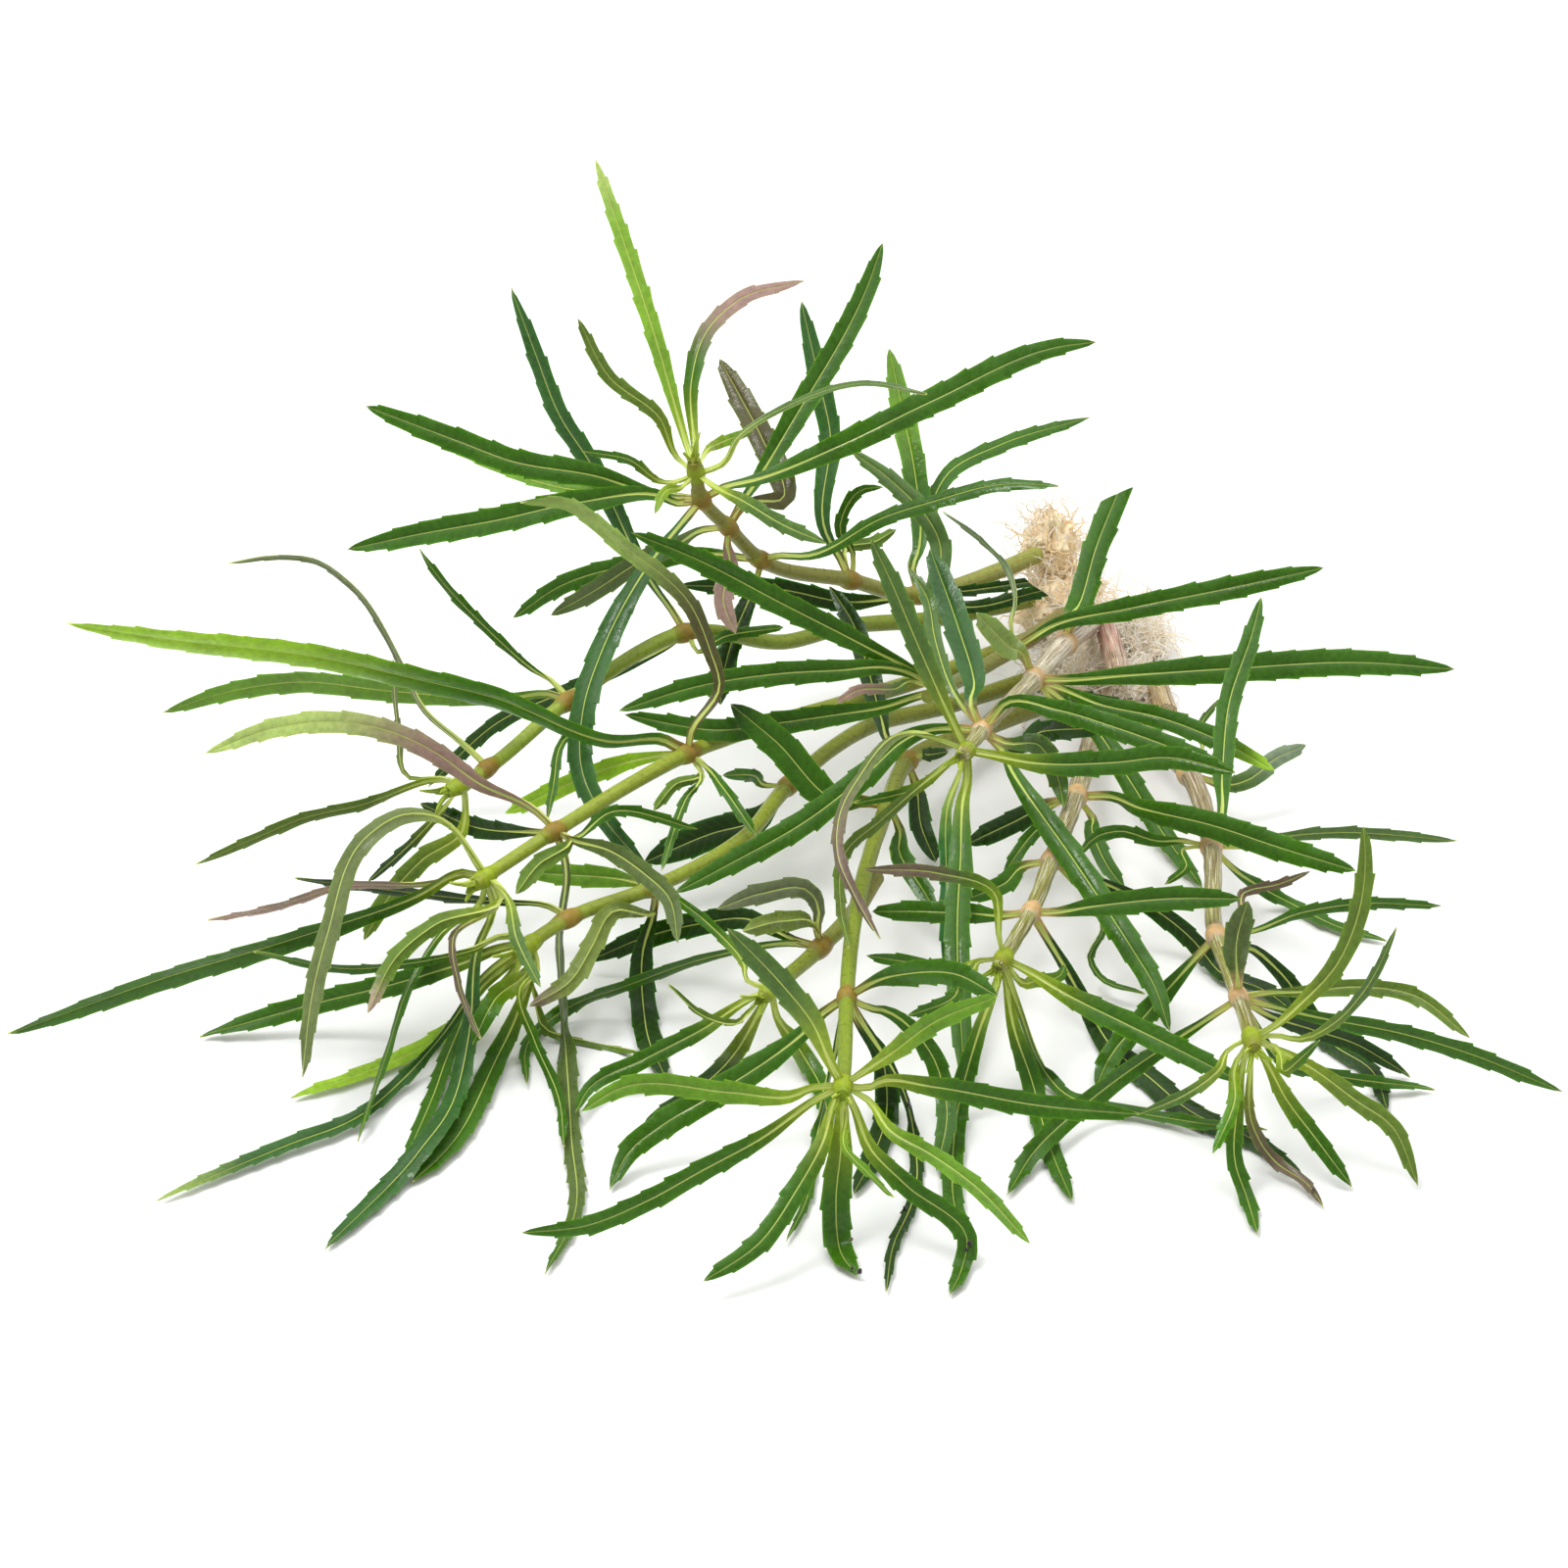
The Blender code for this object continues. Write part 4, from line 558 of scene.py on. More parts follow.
TAN_CORE = (250, 228, 190)
ROOT_STAIN = (228, 184, 138)
SOIL_COLOUR = (34, 30, 34)

# Skins of the stems: dark streaks, pale streaks, roughness, and how strong the streaks are
GREEN_SKIN = ((96, 104, 30), (160, 168, 70), 0.34, 0.3)
OLD_SKIN = ((106, 78, 60), (240, 234, 222), 0.5, 0.9)

# Colours of the nodes, and how far each runs into the leaves
LIME_NODE = ((150, 168, 40), 20 * MM)
TAN_NODE = ((148, 122, 50), 5 * MM)
OLD_NODE = ((204, 168, 116), 5 * MM)

# Colours of the stems near the roots, then at the growing tip
STEM_COLOURS = {
    "stem_a": ((150, 152, 66), (136, 132, 50)),
    "stem_b": ((132, 148, 40), (144, 166, 44)),
    "stem_c": ((138, 146, 40), (150, 166, 44)),
    "stem_d": ((128, 134, 40), (142, 158, 36)),
    "stem_e": ((224, 210, 188), (158, 156, 76)),
    "stem_f": ((124, 126, 44), (134, 156, 34)),
    "stem_g": ((182, 166, 134), (140, 144, 44)),
    "stem_h": ((180, 158, 128), (142, 146, 50)),
    "stem_j": ((130, 128, 50), (136, 152, 42)),
    "stem_l": ((130, 122, 60), (130, 138, 50)),
    "stub_pink": ((200, 152, 134), (194, 168, 136)),
    "stub_tan": ((200, 176, 132), (186, 162, 110)),
}


def place(x, y, depth):
    """Points in space from picture points and their depths in metres towards the viewer."""
    x, y, depth = (np.asarray(value, float)[..., None] for value in (x, y, depth))
    reach = PIXEL * (VIEW_DISTANCE - depth) / VIEW_DISTANCE
    across = (x - PICTURE_MIDDLE) * reach * VIEW_RIGHT
    upward = (PICTURE_MIDDLE - y) * reach * VIEW_UP
    return REFERENCE + across + upward + depth * VIEW_TOWARD


def seen(points):
    """Picture points and depths of points in space."""
    offset = points - REFERENCE
    depth = offset @ VIEW_TOWARD
    reach = PIXEL * (VIEW_DISTANCE - depth) / VIEW_DISTANCE
    return (
        PICTURE_MIDDLE + (offset @ VIEW_RIGHT) / reach,
        PICTURE_MIDDLE - (offset @ VIEW_UP) / reach,
        depth,
    )


def depth_at_height(y, height):
    """Depth at which the line of sight through picture row y is at this height."""
    rise = (PICTURE_MIDDLE - y) * PIXEL * VIEW_UP[2]
    return (height - REFERENCE[2] - rise) / (VIEW_TOWARD[2] - rise / VIEW_DISTANCE)


def lengths_along(points):
    return np.concatenate([[0.0], np.cumsum(np.linalg.norm(np.diff(points, axis=0), axis=1))])


def hermite(rows, slopes, low, part, width=1.0):
    """Values on a smooth curve, part of the way from row low to the next one."""
    return (
        (1 + 2 * part) * (1 - part) ** 2 * rows[low]
        + part * (1 - part) ** 2 * width * slopes[low]
        + part**2 * (3 - 2 * part) * rows[low + 1]
        + part**2 * (part - 1) * width * slopes[low + 1]
    )


def read_off(wanted, places, rows):
    """Rows of three values read off in straight lines between known places."""
    return np.stack([np.interp(wanted, places, rows[:, axis]) for axis in range(3)], axis=1)


def smooth(points, count):
    """Evenly spaced points on a smooth curve through the given ones."""
    points = np.asarray(points, float)
    knots = lengths_along(points)
    slopes = np.gradient(points, knots, axis=0)
    fine = np.linspace(0.0, knots[-1], FINE_STEPS * len(points))
    span = np.clip(np.searchsorted(knots, fine, side="right") - 1, 0, len(knots) - 2)
    width = knots[span + 1] - knots[span]
    part = ((fine - knots[span]) / width)[:, None]
    curve = hermite(points, slopes, span, part, width[:, None])
    along = lengths_along(curve)
    return read_off(np.linspace(0.0, along[-1], count), along, curve)


def unit(vectors):
    return vectors / np.maximum(np.linalg.norm(vectors, axis=-1, keepdims=True), 1e-12)


def eased(values):
    values = np.clip(values, 0.0, 1.0)
    return values * values * (3 - 2 * values)


def carried(direction, tangents):
    """A direction carried along a path without turning about it."""
    rows = []
    for tangent in tangents:
        direction = unit(direction - (direction @ tangent) * tangent)
        rows.append(direction)
    return np.array(rows)


def stem_points(route):
    x, y, depth = np.array(route, float).T
    return place(x, y, depth * MM)


def stem_direction(points, index):
    return unit(points[min(index + 1, len(points) - 1)] - points[max(index - 1, 0)])


def stem_radii(name, points):
    """Thick where it springs from the roots, thin at the growing tip."""
    start = STEM_OLD_RADIUS if name in OLD_STEMS else STEM_RADIUS
    along = lengths_along(points)
    return start + (STEM_TIP_RADIUS - start) * along / along[-1]


def node_of(stem, index):
    """Middle and direction of a stem's node, and the stem's radius there."""
    points = stem_points(STEMS[stem])
    return points[index], stem_direction(points, index), stem_radii(stem, points)[index]


def ring_radius(stem_radius):
    """From the stem's middle to the middle of the ring's section."""
    bore = (stem_radius + RING_GAP) / math.cos(math.pi / RING_SIDES)
    return bore + RING_SECTION / 2


def outline(along, base, growth, full, tip, reach, power, blunt):
    """Width of a leaf along its length, as a share of its greatest width."""
    foot = base + growth * eased(along / full)
    return foot * (1.0 - np.clip((along - tip) / reach, 0.0, 1.0) ** power) ** blunt


class Blade:
    """One leaf's midline and the directions across and out of its blade."""

    def __init__(self, whorl, details, centre, axis, stem_radius):
        self.whorl = whorl
        self.cut = details["cut"]
        self.axis = axis
        self.seen_width = details["width"] * PIXEL
        x, y = np.array(details["through"], float).T
        middle_x, middle_y, middle_depth = seen(centre)
        run = np.hypot(np.diff(x, prepend=middle_x), np.diff(y, prepend=middle_y)).cumsum()
        depth = middle_depth + details["out"] * MM * run / run[-1]
        depth = np.maximum(depth, depth_at_height(y, LEAST_HEIGHT))
        route = place(x, y, depth)
        start = ring_radius(stem_radius)
        clear = np.linalg.norm(route - centre, axis=1) > start + ROUTE_START
        clear[-1] = True
        route = route[clear]
        sideways = route[0] - centre
        sideways = unit(sideways - (sideways @ axis) * axis)
        first = centre + sideways * start * (1 + math.cos(math.pi / RING_SIDES)) / 2
        second = centre + sideways * (start + BASE_RUN) + axis * BASE_RISE
        self.points = smooth(np.vstack([first, second, route]), STATIONS)
        self.along = np.linspace(0.0, 1.0, STATIONS)
        length = lengths_along(self.points)[-1]
        self.width = max(self.seen_width, LEAF_SLENDERNESS * length)
        self.half = 0.5 * self.width * outline(self.along, *SOLID_OUTLINE)
        self.half = np.maximum(self.half, LEAST_HALF_WIDTH)
        if self.cut:
            self.half = 0.5 * self.width * (0.6 + 0.4 * eased(self.along / 0.3))
        self.half[0] = 0.5 * LEAF_BASE_WIDTH
        self.turn_frames()
        self.fit = self.picture_fit()
        self.half = self.half * self.fit

    def turn_frames(self):
        """Face the viewer as wide as the picture shows, and lie flat on the surface below."""
        tangent = unit(np.gradient(self.points, axis=0))
        facing = unit(VIEW_TOWARD - (tangent @ VIEW_TOWARD)[:, None] * tangent)
        aside = np.cross(tangent, facing)
        turn = math.acos(min(1.0, self.seen_width / self.width))
        side = 1.0 if aside[STATIONS // 2] @ self.axis >= 0 else -1.0
        wanted = math.cos(turn) * facing + side * math.sin(turn) * aside
        height = self.points[:, 2]
        level = eased(1.0 - height / LYING_HEIGHT)[:, None]
        upward = np.array([0.0, 0.0, 1.0])
        wanted = unit((1 - level) * wanted + level * upward)
        wanted = unit(wanted - np.sum(wanted * tangent, axis=1)[:, None] * tangent)
        base = carried(self.axis, tangent)
        if np.sum(base[STATIONS // 3 :] * wanted[STATIONS // 3 :]) < 0:
            wanted = -wanted
        sine = np.sum(np.cross(base, wanted) * tangent, axis=1)
        cosine = np.sum(base * wanted, axis=1)
        angle = np.unwrap(np.arctan2(sine, cosine)) * eased(self.along / 0.28)
        across = np.cross(tangent, base)
        self.normal = np.cos(angle)[:, None] * base + np.sin(angle)[:, None] * across
        self.across = np.cross(tangent, self.normal)

    def picture_fit(self):
        """Shares of the width that keep the blade from looking wider than the picture shows."""
        tangent = unit(np.gradient(self.points, axis=0))
        aside = unit(np.cross(tangent, VIEW_TOWARD))
        shown = self.width * np.abs(np.sum(self.across * aside, axis=1))
        share = np.clip(self.seen_width / np.maximum(shown, 0.5 * self.seen_width), LEAST_FIT, 1.0)
        share = np.convolve(np.pad(share, FIT_REACH, mode="edge"), FIT_MEAN, mode="valid")
        return 1.0 + (share - 1.0) * eased(self.along / 0.3)

    def lift(self):
        """Keep the blade's edges above the surface, along the lines of sight."""
        x, y, depth = seen(self.points)
        lowest = EDGE_HEIGHT + self.half * np.abs(self.across[:, 2])
        lowest = lowest + LEAF_KEEL * np.maximum(self.normal[:, 2], 0.0)
        floor = depth_at_height(y, lowest)
        free = eased(self.along / 0.1)
        raised = np.maximum(depth, floor)
        self.points = place(x, y, depth + (raised - depth) * free)

    def samples(self):
        """Points across the blade, and the station that each belongs to."""
        stations = np.linspace(0, STATIONS - 1, ROWS_ALONG)
        rows = np.arange(STATIONS)
        points = read_off(stations, rows, self.points)
        reach = read_off(stations, rows, self.across * self.half[:, None])
        grid = points[:, None, :] + ACROSS[None, :, None] * reach[:, None, :]
        station = np.repeat(np.rint(stations).astype(int), len(ACROSS))
        return grid.reshape(-1, 3), station


def stem_samples(points, radii):
    """Points through a stem's cross-section from side to side, with its half depth there."""
    fine = smooth(points, STEM_ROWS)
    along = lengths_along(points)
    radius = np.interp(np.linspace(0, along[-1], len(fine)), along, radii)
    tangent = unit(np.gradient(fine, axis=0))
    side = unit(np.cross(tangent, VIEW_TOWARD))
    grid = fine[:, None, :] + ACROSS[None, :, None] * (side * radius[:, None])[:, None, :]
    half = radius[:, None] * np.sqrt(np.maximum(0.0, 1.0 - 0.9 * ACROSS[None, :] ** 2))
    return grid.reshape(-1, 3), half.reshape(-1)


def cells_of(points):
    """For each point, the number of the picture cell that it is seen in, and its depth."""
    x, y, depth = seen(points)
    column, line = np.floor(x / CELL).astype(int), np.floor(y / CELL).astype(int)
    return column * CELL_LINES + line, depth


def stem_entries(blades, stems):
    """Where the stems and their node rings are: cells, depths, owner numbers and stations."""
    rods = [(name, points, stem_radii(name, points)) for name, points in stems.items()]
    for stem, index, *_ in WHORLS.values():
        centre, axis, radius = node_of(stem, index)
        ends = axis * np.array([[-RING_REACH], [0.0], [RING_REACH]])
        rods.append((stem, centre + ends, np.full(3, ring_radius(radius) + RING_SECTION)))
    entries = []
    for name, points, radii in rods:
        grid, half = stem_samples(points, radii)
        cell, depth = cells_of(grid)
        owner = np.full(len(cell), len(blades) + list(stems).index(name))
        entries.append((cell, depth - half, depth + half, owner, np.zeros(len(cell), int)))
    return entries


def blade_entry(blade, number):
    """Where a blade is: cells, depths, owner numbers and stations."""
    grid, station = blade.samples()
    cell, depth = cells_of(grid)
    return cell, depth - BLADE_HALF, depth + BLADE_HALF, np.full(len(cell), number), station


def softened(push):
    return np.convolve(np.pad(push, SOFT_REACH, mode="edge"), SOFT_SHAPE, mode="valid")


def separate(blades, stems):
    """Push blades apart along the lines of sight wherever two share a spot of the picture."""
    fixed = stem_entries(blades, stems)
    order = {}
    for round_number in range(ROUNDS):
        if round_number % TURN_EVERY == 0:
            for blade in blades:
                blade.turn_frames()
        entries = fixed + [blade_entry(blade, number) for number, blade in enumerate(blades)]
        forward, back = pushes(entries, blades, order, round_number == 0)
        for number, blade in enumerate(blades):
            move = PUSH * (softened(forward[number]) - softened(back[number]))
            move = move * eased(blade.along / ROOTED)
            x, y, depth = seen(blade.points)
            blade.points = place(x, y, depth + move)
            blade.lift()
    for blade in blades:
        blade.turn_frames()
        blade.lift()


def pushes(entries, blades, order, first_round):
    """How far each station of each blade has to come forward and to go back."""
    cell, owner, station, low, high = gathered(entries)
    first, second = sharing(cell)
    keep = strangers(owner[first], owner[second], station[first], station[second], blades)
    first, second = first[keep], second[keep]
    lead = low[first] + high[first] - low[second] - high[second]
    pair = owner[first] * MOST_OWNERS + owner[second]
    if first_round:
        for key, value in zip(pair, lead / 2):
            order[key] = order.get(key, 0.0) + value
    known = np.array(sorted(order))
    totals = np.array([order[key] for key in known])
    row = np.clip(np.searchsorted(known, pair), 0, len(known) - 1)
    lead = np.where(known[row] == pair, totals[row], lead)
    front = np.where(lead > 0, first, second)
    behind = np.where(lead > 0, second, first)
    lack = np.maximum(0.0, high[behind] + CLEARANCE - low[front])
    found = []
    for side in (front, behind):
        push = np.zeros((len(blades), STATIONS))
        moving = owner[side] < len(blades)
        np.maximum.at(push, (owner[side][moving], station[side][moving]), lack[moving])
        found.append(push)
    return found


def gathered(entries):
    """One row for each owner in each cell: cell, owner, station, lowest and highest depth."""
    cell, low, high, owner, station = (np.concatenate(column) for column in zip(*entries))
    keys = cell * MOST_OWNERS + owner
    sort = np.argsort(keys, kind="stable")
    keys, low, high, station = keys[sort], low[sort], high[sort], station[sort]
    starts = np.flatnonzero(np.diff(keys, prepend=keys[0] - 1))
    low = np.minimum.reduceat(low, starts)
    high = np.maximum.reduceat(high, starts)
    return keys[starts] // MOST_OWNERS, keys[starts] % MOST_OWNERS, station[starts], low, high


def sharing(cell):
    """Pairs of rows that lie in the same cell."""
    pairs = []
    for step in range(1, MOST_SHARING):
        same = np.flatnonzero(cell[:-step] == cell[step:])
        pairs.append(np.stack([same, same + step]))
    return np.concatenate(pairs, axis=1)


def strangers(first, second, first_station, second_station, blades):
    """Whether two owners must keep clear of each other there.

    Two stems need not, nor the bases of two blades of one whorl, nor a base and its own stem.
    """
    names = [blade.whorl for blade in blades] + list(STEMS)
    whorl = np.array([list(WHORLS).index(name) if name in WHORLS else -1 for name in names])
    stems = [WHORLS[blade.whorl][0] for blade in blades]
    home = [len(blades) + list(STEMS).index(stem) for stem in stems] + [-1] * len(STEMS)
    home = np.array(home)
    is_kin = (whorl[first] == whorl[second]) & (whorl[first] >= 0)
    is_kin &= (first_station < KIN_STATIONS) & (second_station < KIN_STATIONS)
    is_home = (home[first] == second) & (first_station < HOME_STATIONS)
    is_home |= (home[second] == first) & (second_station < HOME_STATIONS)
    both_stems = (first >= len(blades)) & (second >= len(blades))
    return ~is_kin & ~is_home & ~both_stems


def all_blades():
    """Every leaf's blade, set apart from its neighbours."""
    blades = []
    for name, (stem, index, _, leaves) in WHORLS.items():
        blades += [Blade(name, details, *node_of(stem, index)) for details in leaves]
    separate(blades, {name: stem_points(route) for name, route in STEMS.items()})
    return blades


def linear(colour):
    """A colour given from 0 to 255 as the eye sees it, as light."""
    share = np.asarray(colour, float) / 255
    return np.where(share <= 0.04045, share / 12.92, ((share + 0.055) / 1.055) ** 2.4)


def between(rows, places):
    """Rows read off smoothly between stations."""
    slopes = np.gradient(rows, axis=0)
    low = np.clip(np.floor(places).astype(int), 0, len(rows) - 2)
    return hermite(rows, slopes, low, (places - low)[:, None])


def mixed(first, second, share):
    share = np.asarray(share, float)[..., None]
    return first + (second - first) * share


def held(values):
    """Face-corner values from one for each ring and side, the same right across a face."""
    return np.stack([values, values], axis=2)


def turned(values):
    """Face-corner values from one for each point of each ring."""
    return np.stack([values, np.roll(values, -1, axis=1)], axis=2)


def all_over(colour, rings):
    return held(np.broadcast_to(colour, rings.shape))


class Sheet:
    """Vertices, faces and face-corner values of a piece that is put together bit by bit."""

    def __init__(self):
        self.points = []
        self.faces = []
        self.values = {}
        self.count = 0

    def loops(self, rings, values):
        """Rings of points joined into a closed skin, with its face-corner values by name."""
        rows, sides, _ = rings.shape
        start = self.count
        self.points.append(rings.reshape(-1, 3))
        self.count += rows * sides
        row, side = np.meshgrid(np.arange(rows - 1), np.arange(sides), indexing="ij")
        after = (side + 1) % sides
        corners = [(row, side), (row + 1, side), (row + 1, after), (row, after)]
        quads = np.stack([line * sides + column for line, column in corners], axis=-1)
        self.faces.append(quads.reshape(-1, 4) + start)
        for name, value in values.items():
            corners = [value[:-1, :, 0], value[1:, :, 0], value[1:, :, 1], value[:-1, :, 1]]
            corners = np.stack(corners, axis=2).reshape(-1, *value.shape[3:])
            self.values.setdefault(name, []).append(corners)
        for end, way in ((0, 1), (rows - 1, -1)):
            loop = start + end * sides + np.arange(sides)
            self.faces.append([list(loop[::way])])
            for name, value in values.items():
                self.values[name].append(value[end, ::way, 0])

    def finish(self, name, material):
        faces = [list(map(int, face)) for group in self.faces for face in group]
        mesh = bpy.data.meshes.new(name)
        mesh.from_pydata(np.concatenate(self.points).tolist(), [], faces)
        for key, parts in self.values.items():
            data = np.concatenate(parts).astype(np.float32)
            kind, field = ("FLOAT", "value") if data.ndim == 1 else ("FLOAT_VECTOR", "vector")
            mesh.attributes.new(key, kind, "CORNER").data.foreach_set(field, data.ravel())
        mesh.shade_smooth()
        mesh.set_sharp_from_angle(angle=SHARP_ANGLE)
        mesh.materials.append(material)
        return added(name, mesh)


def added(name, data):
    """A new object of the scene."""
    thing = bpy.data.objects.new(name, data)
    bpy.context.scene.collection.objects.link(thing)
    return thing


def teeth(length, draw):
    """Places of the teeth along one margin, as shares of the length, and how deep each is."""
    at = draw.uniform(*FIRST_TOOTH)
    places, depths = [], []
    while at < LAST_TOOTH:
        places.append(at)
        depths.append(TOOTH_DEPTH * draw.uniform(*DEPTH_SHARES) * min(1.0, (at - 0.15) / 0.3))
        at += TOOTH_PITCH / length * draw.uniform(*PITCH_SHARES)
    return np.array(places), np.array(depths)


def tooth_rise(along, places, depths, step):
    """How far the teeth stand out from the margin at each place along it."""
    following = np.searchsorted(places, along - 1e-9)
    known = np.clip(following, 0, len(places) - 1)
    start = np.where(known > 0, places[known - 1] + step, places[known] - 0.05)
    share = np.clip((along - start) / (places[known] - start), 0.0, 1.0)
    return np.where(following < len(places), depths[known] * share**TOOTH_HOLLOW, 0.0)


def leaf_sections(blade, length, margins):
    """Shares of the length where a leaf has its sections, with one at each tooth and each notch."""
    count = max(LEAST_SECTIONS, int(length / LEAF_STEP))
    grid = np.linspace(-BASE_SINK / length, 1.0, count)
    edges = [places + offset for places, _ in margins for offset in (0.0, TOOTH_STEP / length)]
    along = np.unique(np.minimum(np.concatenate([grid, *edges]), 1.0))
    return along if blade.cut else np.unique(np.concatenate([along, TIP_SECTIONS]))


def half_widths(blade, along, rows, fitted):
    """Half the width of a leaf at each of its sections."""
    half = np.interp(rows, np.arange(len(blade.half)), blade.half)
    if blade.cut:
        return half
    if isinstance(blade, Blade):
        widths = [NARROW_LEAF, BROAD_LEAF]
        broad = np.interp(blade.seen_width, widths, [NARROW_SPREAD, BROAD_SPREAD])
        fit = np.interp(rows, np.arange(len(blade.fit)), blade.fit)
        half = 0.5 * broad * blade.width * fit * outline(along, *FINE_OUTLINE) * fitted
    return half * np.clip((1.0 - along) / 0.02, 0.12, 1.0)


def leaf_tints(tint, node, along, length, is_under):
    """Colours at each section: of the node, then of the leaf, then of its outer part."""
    words = tint.replace("~", ">").split(">")
    body, tip = LEAF_COLOURS[words[0]], LEAF_COLOURS[words[-1]]
    turning = eased((along - 0.76) / 0.24) if "~" in tint else eased((along - 0.36) / 0.36)
    node_colour, reach = node
    faces = []
    for inner, outer in zip(body, tip):
        colour = mixed(linear(inner), linear(outer), turning)
        colour = mixed(linear(node_colour), colour, eased(along * length / reach + 0.1))
        faces.append(colour[:, None, :])
    return np.where(is_under[None, :, None], faces[1], faces[0])


def leaf_skin(sheet, blade, tint, node, draw, fitted=1.0):
    """A thin closed leaf: cupped on both sides of a grooved midrib, with small forward teeth."""
    length = lengths_along(blade.points)[-1]
    margins = [teeth(length, draw) for _ in range(2)]
    along = leaf_sections(blade, length, margins)
    rows = along * (len(blade.points) - 1)
    middle = between(blade.points, rows)
    tangent = unit(np.gradient(middle, along, axis=0))
    across = unit(np.cross(tangent, between(blade.normal, rows)))
    normal = np.cross(across, tangent)
    half = half_widths(blade, along, rows, fitted)
    fold = draw.uniform(*FOLDS)
    roll = draw.uniform(*ROLLS)
    wave = draw.uniform(*WAVES) * MM
    phase = [draw.uniform(0, 2 * math.pi) for _ in range(2)]
    pitch = draw.uniform(*WAVE_PITCHES) * MM
    slant = draw.uniform(*CUT_SLANTS) * half[-1] if blade.cut else 0.0
    rises = [tooth_rise(along, *margin, TOOTH_STEP / length) for margin in margins]
    rises = [np.minimum(rise, 0.45 * half) for rise in rises]
    thick = LEAF_MIDDLE_THICKNESS + LEAF_THICKENING * (1 - eased(along / 0.2))
    rib = RIB_TIP_DEPTH + (RIB_DEPTH - RIB_TIP_DEPTH) * (1 - along) ** 1.3

    def spot(u, under):
        side = 0 if u < 0 else 1
        reach = half + rises[side] * abs(u) ** 3
        size = abs(u)
        lift = LEAF_RISE + (fold * size - roll * size**3) * half
        lift = lift + wave * size**2 * np.sin(2 * math.pi * along * length / pitch + phase[side])
        if size < 0.05:
            lift = lift - np.minimum(GROOVE_DEPTH, 0.2 * half)
        if under:
            skin = thick * (1 - size) + LEAF_MARGIN_THICKNESS * size
            lift = lift - skin - rib * max(0.0, 1 - size / 0.2)
        offset = across * (u * reach)[:, None] + normal * lift[:, None]
        if blade.cut:
            offset = offset + tangent * (u * slant * eased((along - 0.75) / 0.25))[:, None]
        return middle + offset

    columns = [spot(u, False) for u in TOP_ACROSS] + [spot(u, True) for u in UNDER_ACROSS]
    rings = np.stack(columns, axis=1)
    size = np.abs(np.concatenate([TOP_ACROSS, UNDER_ACROSS]))[None, :]
    is_under = np.arange(size.shape[1]) >= len(TOP_ACROSS) - 1
    ones = np.ones((len(along), size.shape[1]))
    line = RIB_LINE * (1.05 + 3.2 * np.clip(1 - along / 0.34, 0.0, 1.0) ** 1.6 - 0.45 * along)
    values = {
        "tint": held(leaf_tints(tint, node, along, length, is_under)),
        "rib": turned(size * half[:, None] / line[:, None]),
        "share": held(ones * along[:, None]),
        "under": held(ones * is_under),
        "vein": turned(size * half[:, None] * 900 - along[:, None] * length * 1000),
    }
    sheet.loops(rings, values)


class Young:
    """A small young leaf at a growing tip, with what leaf_skin reads of a blade."""

    def __init__(self, points, axis):
        self.points = smooth(points, YOUNG_STATIONS)
        self.cut = False
        along = np.linspace(0.0, 1.0, YOUNG_STATIONS)
        self.half = np.maximum(YOUNG_HALF_WIDTH * outline(along, *SOLID_OUTLINE), 0.1 * MM)
        self.normal = carried(axis, unit(np.gradient(self.points, axis=0)))


def young_leaves(sheet, tip, axis, draw):
    side = unit(np.cross(axis, VIEW_TOWARD))
    other = np.cross(axis, side)
    for number in range(YOUNG_LEAVES):
        angle = number * YOUNG_TURN + draw.uniform(0, 1)
        outward = math.cos(angle) * side + math.sin(angle) * other
        length = (YOUNG_LENGTH - number) * draw.uniform(0.75, 1.1) * MM
        spread = draw.uniform(0.2, 0.5)
        start = tip - axis * 0.6 * MM + outward * 0.5 * MM
        middle = start + axis * 0.5 * length + outward * 0.3 * length * spread
        end = start + axis * 0.95 * length + outward * length * spread
        leaf_skin(sheet, Young(np.array([start, middle, end]), axis), "light", LIME_NODE, draw)


def round_rings(points, radii, sides, bump=0.0):
    """Rings of points round a path, with the angle of each."""
    tangent = unit(np.gradient(points, axis=0))
    side = carried(unit(np.cross(tangent[0], [0.3, 0.2, 0.9])), tangent)
    other = np.cross(tangent, side)
    angle = np.linspace(0, 2 * math.pi, sides, endpoint=False)
    size = np.asarray(radii)[:, None] * np.ones(sides)[None, :] + bump
    cosine, sine = np.cos(angle)[None, :, None], np.sin(angle)[None, :, None]
    around = cosine * side[:, None, :] + sine * other[:, None, :]
    return points[:, None, :] + around * size[:, :, None], angle


def collar(sheet, centre, axis, radius, colour, stem_colour):
    """The swelling of a node, from which the leaves of a whorl grow."""
    part = np.linspace(-1, 1, NODE_ROWS)
    points = centre + axis * (part * NODE_REACH)[:, None]
    radii = STALK_SPREAD * radius - NODE_SINK + NODE_SWELLING * (1 - part**2) ** 1.3
    rings, _ = round_rings(points, radii, NODE_SIDES)
    shade = mixed(linear(stem_colour), linear(colour), eased(1.3 - 1.3 * np.abs(part)))
    far = np.full(rings.shape[:2] + (2,), 9.0)
    zero = np.zeros(far.shape)
    tints = all_over(shade[:, None, :], rings)
    sheet.loops(rings, {"tint": tints, "rib": far, "share": zero, "under": zero, "vein": zero})


def node_parts(stem):
    """Places of a stem's nodes, as shares of its length."""
    points = stem_points(STEMS[stem])
    along = lengths_along(points)
    return [along[index] / along[-1] for home, index, *_ in WHORLS.values() if home == stem]


